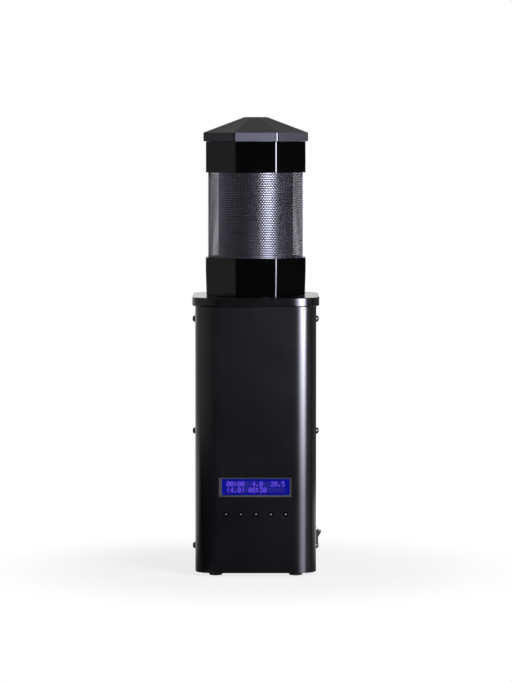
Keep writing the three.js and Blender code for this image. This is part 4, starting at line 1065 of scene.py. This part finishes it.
def edgeLevels(across, low, high, edge, lowRound=True, highRound=True):
    # a block's levels, with its lower and upper edge rounded or sharp
    angles = (0, 0.52, 1.05, 1.57)
    lower = [(across - 2 * edge * (1 - math.sin(a)), low + edge * (1 - math.cos(a))) for a in angles]
    upper = [(across - 2 * edge * (1 - math.cos(a)), high - edge * (1 - math.sin(a))) for a in angles]
    return (lower if lowRound else [(across, low)]) + (upper if highRound else [(across, high)])


def makeCup():
    base, edge, rebate, chaff = collector.pick("base edge rebateRadius chaffRadius")
    low, high = base + gap, base + collector.cupHeight
    ledge = high - collector.rebate
    levels = edgeLevels(collector.cupBottom, low, low + 2 * edge, edge, True, False)[:-1]
    levels += [(collector.cupTop, low + collector.taperHeight)]
    levels += edgeLevels(collector.cupTop, low, high, edge, False, True)[1:]
    cup = octagonStack(levels, "collectorCup", "collectorPlastic")
    floorTop = low + collector.floor
    corner = [(chaff - 3, floorTop), (chaff, floorTop), (chaff, ledge)]
    bowl = [(0, floorTop), *rounded(corner, collector.bowlRound, 5)]
    bowl += [(rebate, ledge), (rebate, high + overrun), (0, high + overrun)]
    combine(cup, roundTool(bowl))
    radius, top = collector.riserRadius, base + collector.riserTop
    outside = radius + collector.riserWall
    spigotLow = base + collector.spigotLow
    outer, inner = collector.pick("spigotOuter spigotRadius")
    combine(cup, roundTool(roundBar(radius + 1, spigotLow - overrun, top + overrun)))
    root = floorTop - collector.pipeRoot
    pipe = [(inner, spigotLow), (outer, spigotLow), (outer, root), (outside, root)]
    pipe += [(outside, top), (radius, top), (radius, floorTop), (inner, low)]
    combine(cup, roundTool(rounded(pipe, collector.pipeRound, 3, closed=True)), "UNION")
    seat = (chaffScreen.radius + gap, floorTop - collector.floor / 2)
    seatEnd = (seat[0] + chaffScreen.seat, floorTop + 2)
    profile = [seat, (seatEnd[0], seat[1]), seatEnd, (seat[0], seatEnd[1])]
    combine(cup, roundTool(rounded(profile, 0.3, 2, closed=True)), "UNION")
    placeCollector(cup, "collector_plastic", "collector_cup")


def makeRing():
    low, high = (collector.base + height for height in collector.pick("ringBottom ringTop"))
    levels = edgeLevels(collector.ringAcross, low, high, collector.edge)
    ring = octagonStack(levels, "collectorRing", "collectorPlastic")
    chaff, rebate = collector.pick("chaffRadius rebateRadius")
    ledge = low + collector.rebate
    bore = [(0, low - overrun), (rebate, low - overrun), (rebate, ledge), (chaff, ledge)]
    combine(ring, roundTool([*bore, (chaff, high + overrun), (0, high + overrun)]))
    placeCollector(ring, "collector_plastic", "collector_ring")


def makeCap():
    base = collector.base + collector.ringTop
    rim, rimHeight, rise, top, edge = capForm.pick("rim rimHeight slope top edge")
    flat = rim - 2 * edge
    levels = edgeLevels(rim, base + gap, base + rimHeight, edge)
    outlines = [(octagon(across, collector.cornerCut), z) for across, z in levels]
    levels = [(flat - (flat - top) * share, base + rimHeight + rise * share) for share in capForm.slopeEnds]
    levels.append((top - capForm.topCut, base + rimHeight + rise))
    outlines += [(octagon(across, capForm.cornerCut), z) for across, z in levels]
    # the slopes and top take a lighter grey than the rim: partly the plastic's own matt grey, partly painted
    # light from above
    lid = stacked(outlines, "collectorCap", "capPlasticPaintedLight")
    plug, low, high = collector.chaffRadius - capForm.slack, base - capForm.plugDepth, base + capForm.plugRoot
    profile = [*rounded([(0, low), (plug, low), (plug, high)], capForm.plugRound, 3), (0, high)]
    combine(lid, roundTool(profile), "UNION")
    low -= overrun
    hollow = plug - capForm.plugWall
    shoulder = base + rimHeight + (rim / 2 - hollow) * rise / ((rim - top) / 2) - capForm.wall
    ceiling = base + rimHeight + rise - capForm.wall
    profile = [(0, low), (hollow, low), (hollow, shoulder), (top / 2, ceiling), (0, ceiling)]
    combine(lid, roundTool(profile))
    lid.data.materials.append(materials["capEdge"])
    lid.data.materials.append(materials["collectorPlastic"])
    lowEdge, highEdge = ((base + height) * mm for height in capForm.rimBand)
    facet, turn = 45, capForm.glossyTurn
    for face in lid.data.polygons:
        outside = face.center.xy.length > rim * capForm.rimShare * mm
        if outside and lowEdge < face.center.z < highEdge and abs(face.normal.z) < capForm.rimSteepest:
            # the rim's flats are matt and its rounded corners glossy
            facing = math.degrees(math.atan2(face.normal.y, face.normal.x)) % facet
            face.material_index = 2 if turn < facing < facet - turn else 1
    place(shade(lid, 12), "collector_plastic", "collector_cap", body="cap")


meshCloth = Values(
    radius=46.24, wireWidth=0.42, wireDepth=0.33, warpWave=0.38, weftWave=0.07, fillet=0.05, warps=204,
    pitch=1.71, rows=54, middle=350.95, hemInner=45.7, hemOuter=46.8, hemHeight=4.5, low=301.8, high=400.1,
    hemRound=0.3,
)


def addWires(tree, given, direction, odd):
    # every second wire of one direction: its wave, its section, and its copies along or around the sleeve
    index = geometryNode(tree, "InputIndex")
    sign = mathNode(tree, "SUBTRACT", 1, times(tree, odd, 2))
    wave = mathNode(tree, "COSINE", times(tree, index, math.pi / 2))
    wave = times(tree, times(tree, wave, given["Wave"]), sign)
    number = mathNode(tree, "ADD", times(tree, index, 2), odd)
    width, depth = given["Wire Width"], given["Wire Depth"]
    if direction == "Warp":
        count = mathNode(tree, "ADD", times(tree, given["Rows"], 2), 1)
        step = vectorNode(tree, z=times(tree, given["Pitch"], 0.5))
        start = vectorNode(tree, given["Radius"], z=given["Bottom"])
        fed = {"Count": count, "Offset": step, "Start Location": start}
        wire = geometryNode(tree, "MeshLine", fed)
        offset = vectorNode(tree, wave)
        section = geometryNode(tree, "CurvePrimitiveQuadrilateral", {"Width": width, "Height": depth})
        fed = {"Curve": section, "Radius": given["Fillet"], "Count": 1}
        section = geometryNode(tree, "FilletCurve", fed, mode="POLY")
        copies = {"Count": times(tree, given["Warps"], 0.5)}
        turn = times(tree, number, mathNode(tree, "DIVIDE", 2 * math.pi, given["Warps"]))
        spin = {"Rotation": vectorNode(tree, z=turn)}
    else:
        fed = {"Vertices": times(tree, given["Warps"], 2), "Radius": given["Radius"]}
        wire = geometryNode(tree, "MeshCircle", fed)
        fed = {0: geometryNode(tree, "InputPosition")}
        outward = shaderNode(tree, "VectorMath", fed, operation="NORMALIZE")
        fed = {0: outward, "Scale": times(tree, wave, -1)}
        offset = shaderNode(tree, "VectorMath", fed, operation="SCALE")
        section = geometryNode(tree, "CurvePrimitiveQuadrilateral", {"Width": depth, "Height": width})
        height = mathNode(tree, "ADD", times(tree, number, given["Pitch"]), given["Bottom"])
        half = times(tree, given["Rows"], 0.5)
        copies = {"Count": half, "Position": vectorNode(tree, z=height)}
        spin = {}
    waved = geometryNode(tree, "SetPosition", {"Geometry": wire, "Offset": offset})
    fed = {"Curve": geometryNode(tree, "MeshToCurve", {0: waved}), "Profile Curve": section}
    swept = geometryNode(tree, "CurveToMesh", fed)
    fed = {"Points": geometryNode(tree, "Points", copies), "Instance": swept, **spin}
    return geometryNode(tree, "InstanceOnPoints", fed)


def makeClothTree(direction, values):
    tree, given, result = newGeometryTree("wovenCloth" + direction, values)
    joined = geometryNode(tree, "JoinGeometry")
    for odd in (given["Odd"],) if direction == "Warp" else (0, 1):
        feed(tree, addWires(tree, given, direction, odd), joined.inputs[0])
    finishTree(tree, joined, given, result)
    return tree


def makeMeshSleeve():
    values = {
        "Radius": meshCloth.radius * mm, "Wire Width": meshCloth.wireWidth * mm,
        "Wire Depth": meshCloth.wireDepth * mm, "Fillet": meshCloth.fillet * mm,
        "Warps": meshCloth.warps, "Rows": meshCloth.rows, "Pitch": meshCloth.pitch * mm,
        "Bottom": (meshCloth.middle - meshCloth.rows * meshCloth.pitch / 2) * mm,
        "Wave": 0.0, "Odd": 0,
    }
    trees = {direction: makeClothTree(direction, values) for direction in ("Warp", "Weft")}
    for name, direction, odd, wave, angle in (
        ("meshWarpEven", "Warp", 0, meshCloth.warpWave, 60),
        ("meshWarpOdd", "Warp", 1, meshCloth.warpWave, 60),
        ("meshWeft", "Weft", 0, meshCloth.weftWave, 50),
    ):
        obj = addObject(name, bpy.data.meshes.new(name))
        own = {**values, "Wave": wave * mm, "Odd": odd}
        applyTree(obj, trees[direction], own, "meshWire")
        print(obj.name, len(obj.data.polygons), "faces")
        placeCollector(obj, "mesh_steel", "mesh_sleeve", angle)
    inner, outer, tall = meshCloth.pick("hemInner hemOuter hemHeight")
    bm = bmesh.new()
    for low in (meshCloth.low, meshCloth.high - tall):
        hem = [(inner, low), (outer, low), (outer, low + tall), (inner, low + tall)]
        addTurned(bm, rounded(hem, meshCloth.hemRound, 3, closed=True), 160)
    placeCollector(makeObject(bm, "meshHems", "meshWire"), "mesh_steel", "mesh_sleeve")


def makeChaffScreen():
    outer, wall, low, high, hem, depth = chaffScreen.pick("radius wall low high hem hemDepth")
    waist = outer - depth / 2
    profile = [(outer - wall, low), (outer, low), (outer, low + hem), (waist, low + hem + depth)]
    profile += [(waist, high - hem - depth), (outer, high - hem), (outer, high), (outer - wall, high)]
    # a near-black, almost unreflecting tube: it stands for the fine inner cloth and paints the shade inside
    # the collector behind the wires
    screen = turned(rounded(profile, chaffScreen.edge, 2, closed=True), "chaffScreen", "screenClothPaintedShade", 160)
    placeCollector(screen, "mesh_steel", "chaff_screen")


makeCup()
makeRing()
makeCap()
makeMeshSleeve()
makeChaffScreen()
print("collector ready")


# Inside: turned pieces made fine, the rest keeps its own solid
chamberProfile = [
    (27, 152.9), (32.2, 152.9), (32.2, 266.6), (35.6, 266.6), (35.6, 267.8), (31, 267.8),
    (31, 154.1), (27, 154.1),
]
chamberPort = Values(radius=1.8, ends=((20, 0, 182.9), (40, 0, 182.9)))
sealProfile = [(32, 268.1), (35.6, 268.1), (35.6, 269.7), (32, 269.7)]
insideRound = 0.3
heaterProfile = [
    (24.5, 90.6), (33, 90.6), (33, 92.1), (28.4, 92.1), (28.4, 151.2), (33.9, 151.2), (33.9, 155.6),
    (32.5, 155.6), (32.5, 152.6), (27, 152.6), (27, 92.1), (24.5, 92.1),
]
keptFinishes = {
    "base_tray": "zincSheet", "air_plate": "drawnSteel", "temperature_probe": "probeBrass",
    "heater_former": "micaBoard", "heater_coil": "coilWire", "fan_duct": "ductNylon",
    "fan_motor": "motorSteel", "fan_shaft": "motorSteel", "fan_impeller": "ductNylon",
    "display_board": "circuitBoard", "button_board": "circuitBoard", "control_board": "circuitBoard",
}


def makeInside():
    for node, name, slot, finish, profile in (
        ("roast_chamber", "roastChamber", "chamber_steel", "drawnSteel", chamberProfile),
        ("chamber_seal", "chamberSeal", "seal_silicone", "sealSilicone", sealProfile),
        ("heater_housing", "heaterHousing", "chamber_steel", "drawnSteel", heaterProfile),
    ):
        piece = turned(rounded(profile, insideRound, 2, closed=True), name, finish, 128)
        if node == "roast_chamber":
            combine(piece, rods([chamberPort.ends], chamberPort.radius))
        place(shade(piece), slot, node)
    for node, finish in keptFinishes.items():
        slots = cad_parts[node].data.materials
        slots.clear()
        slots.append(materials[finish])


makeInside()
print("inside ready")
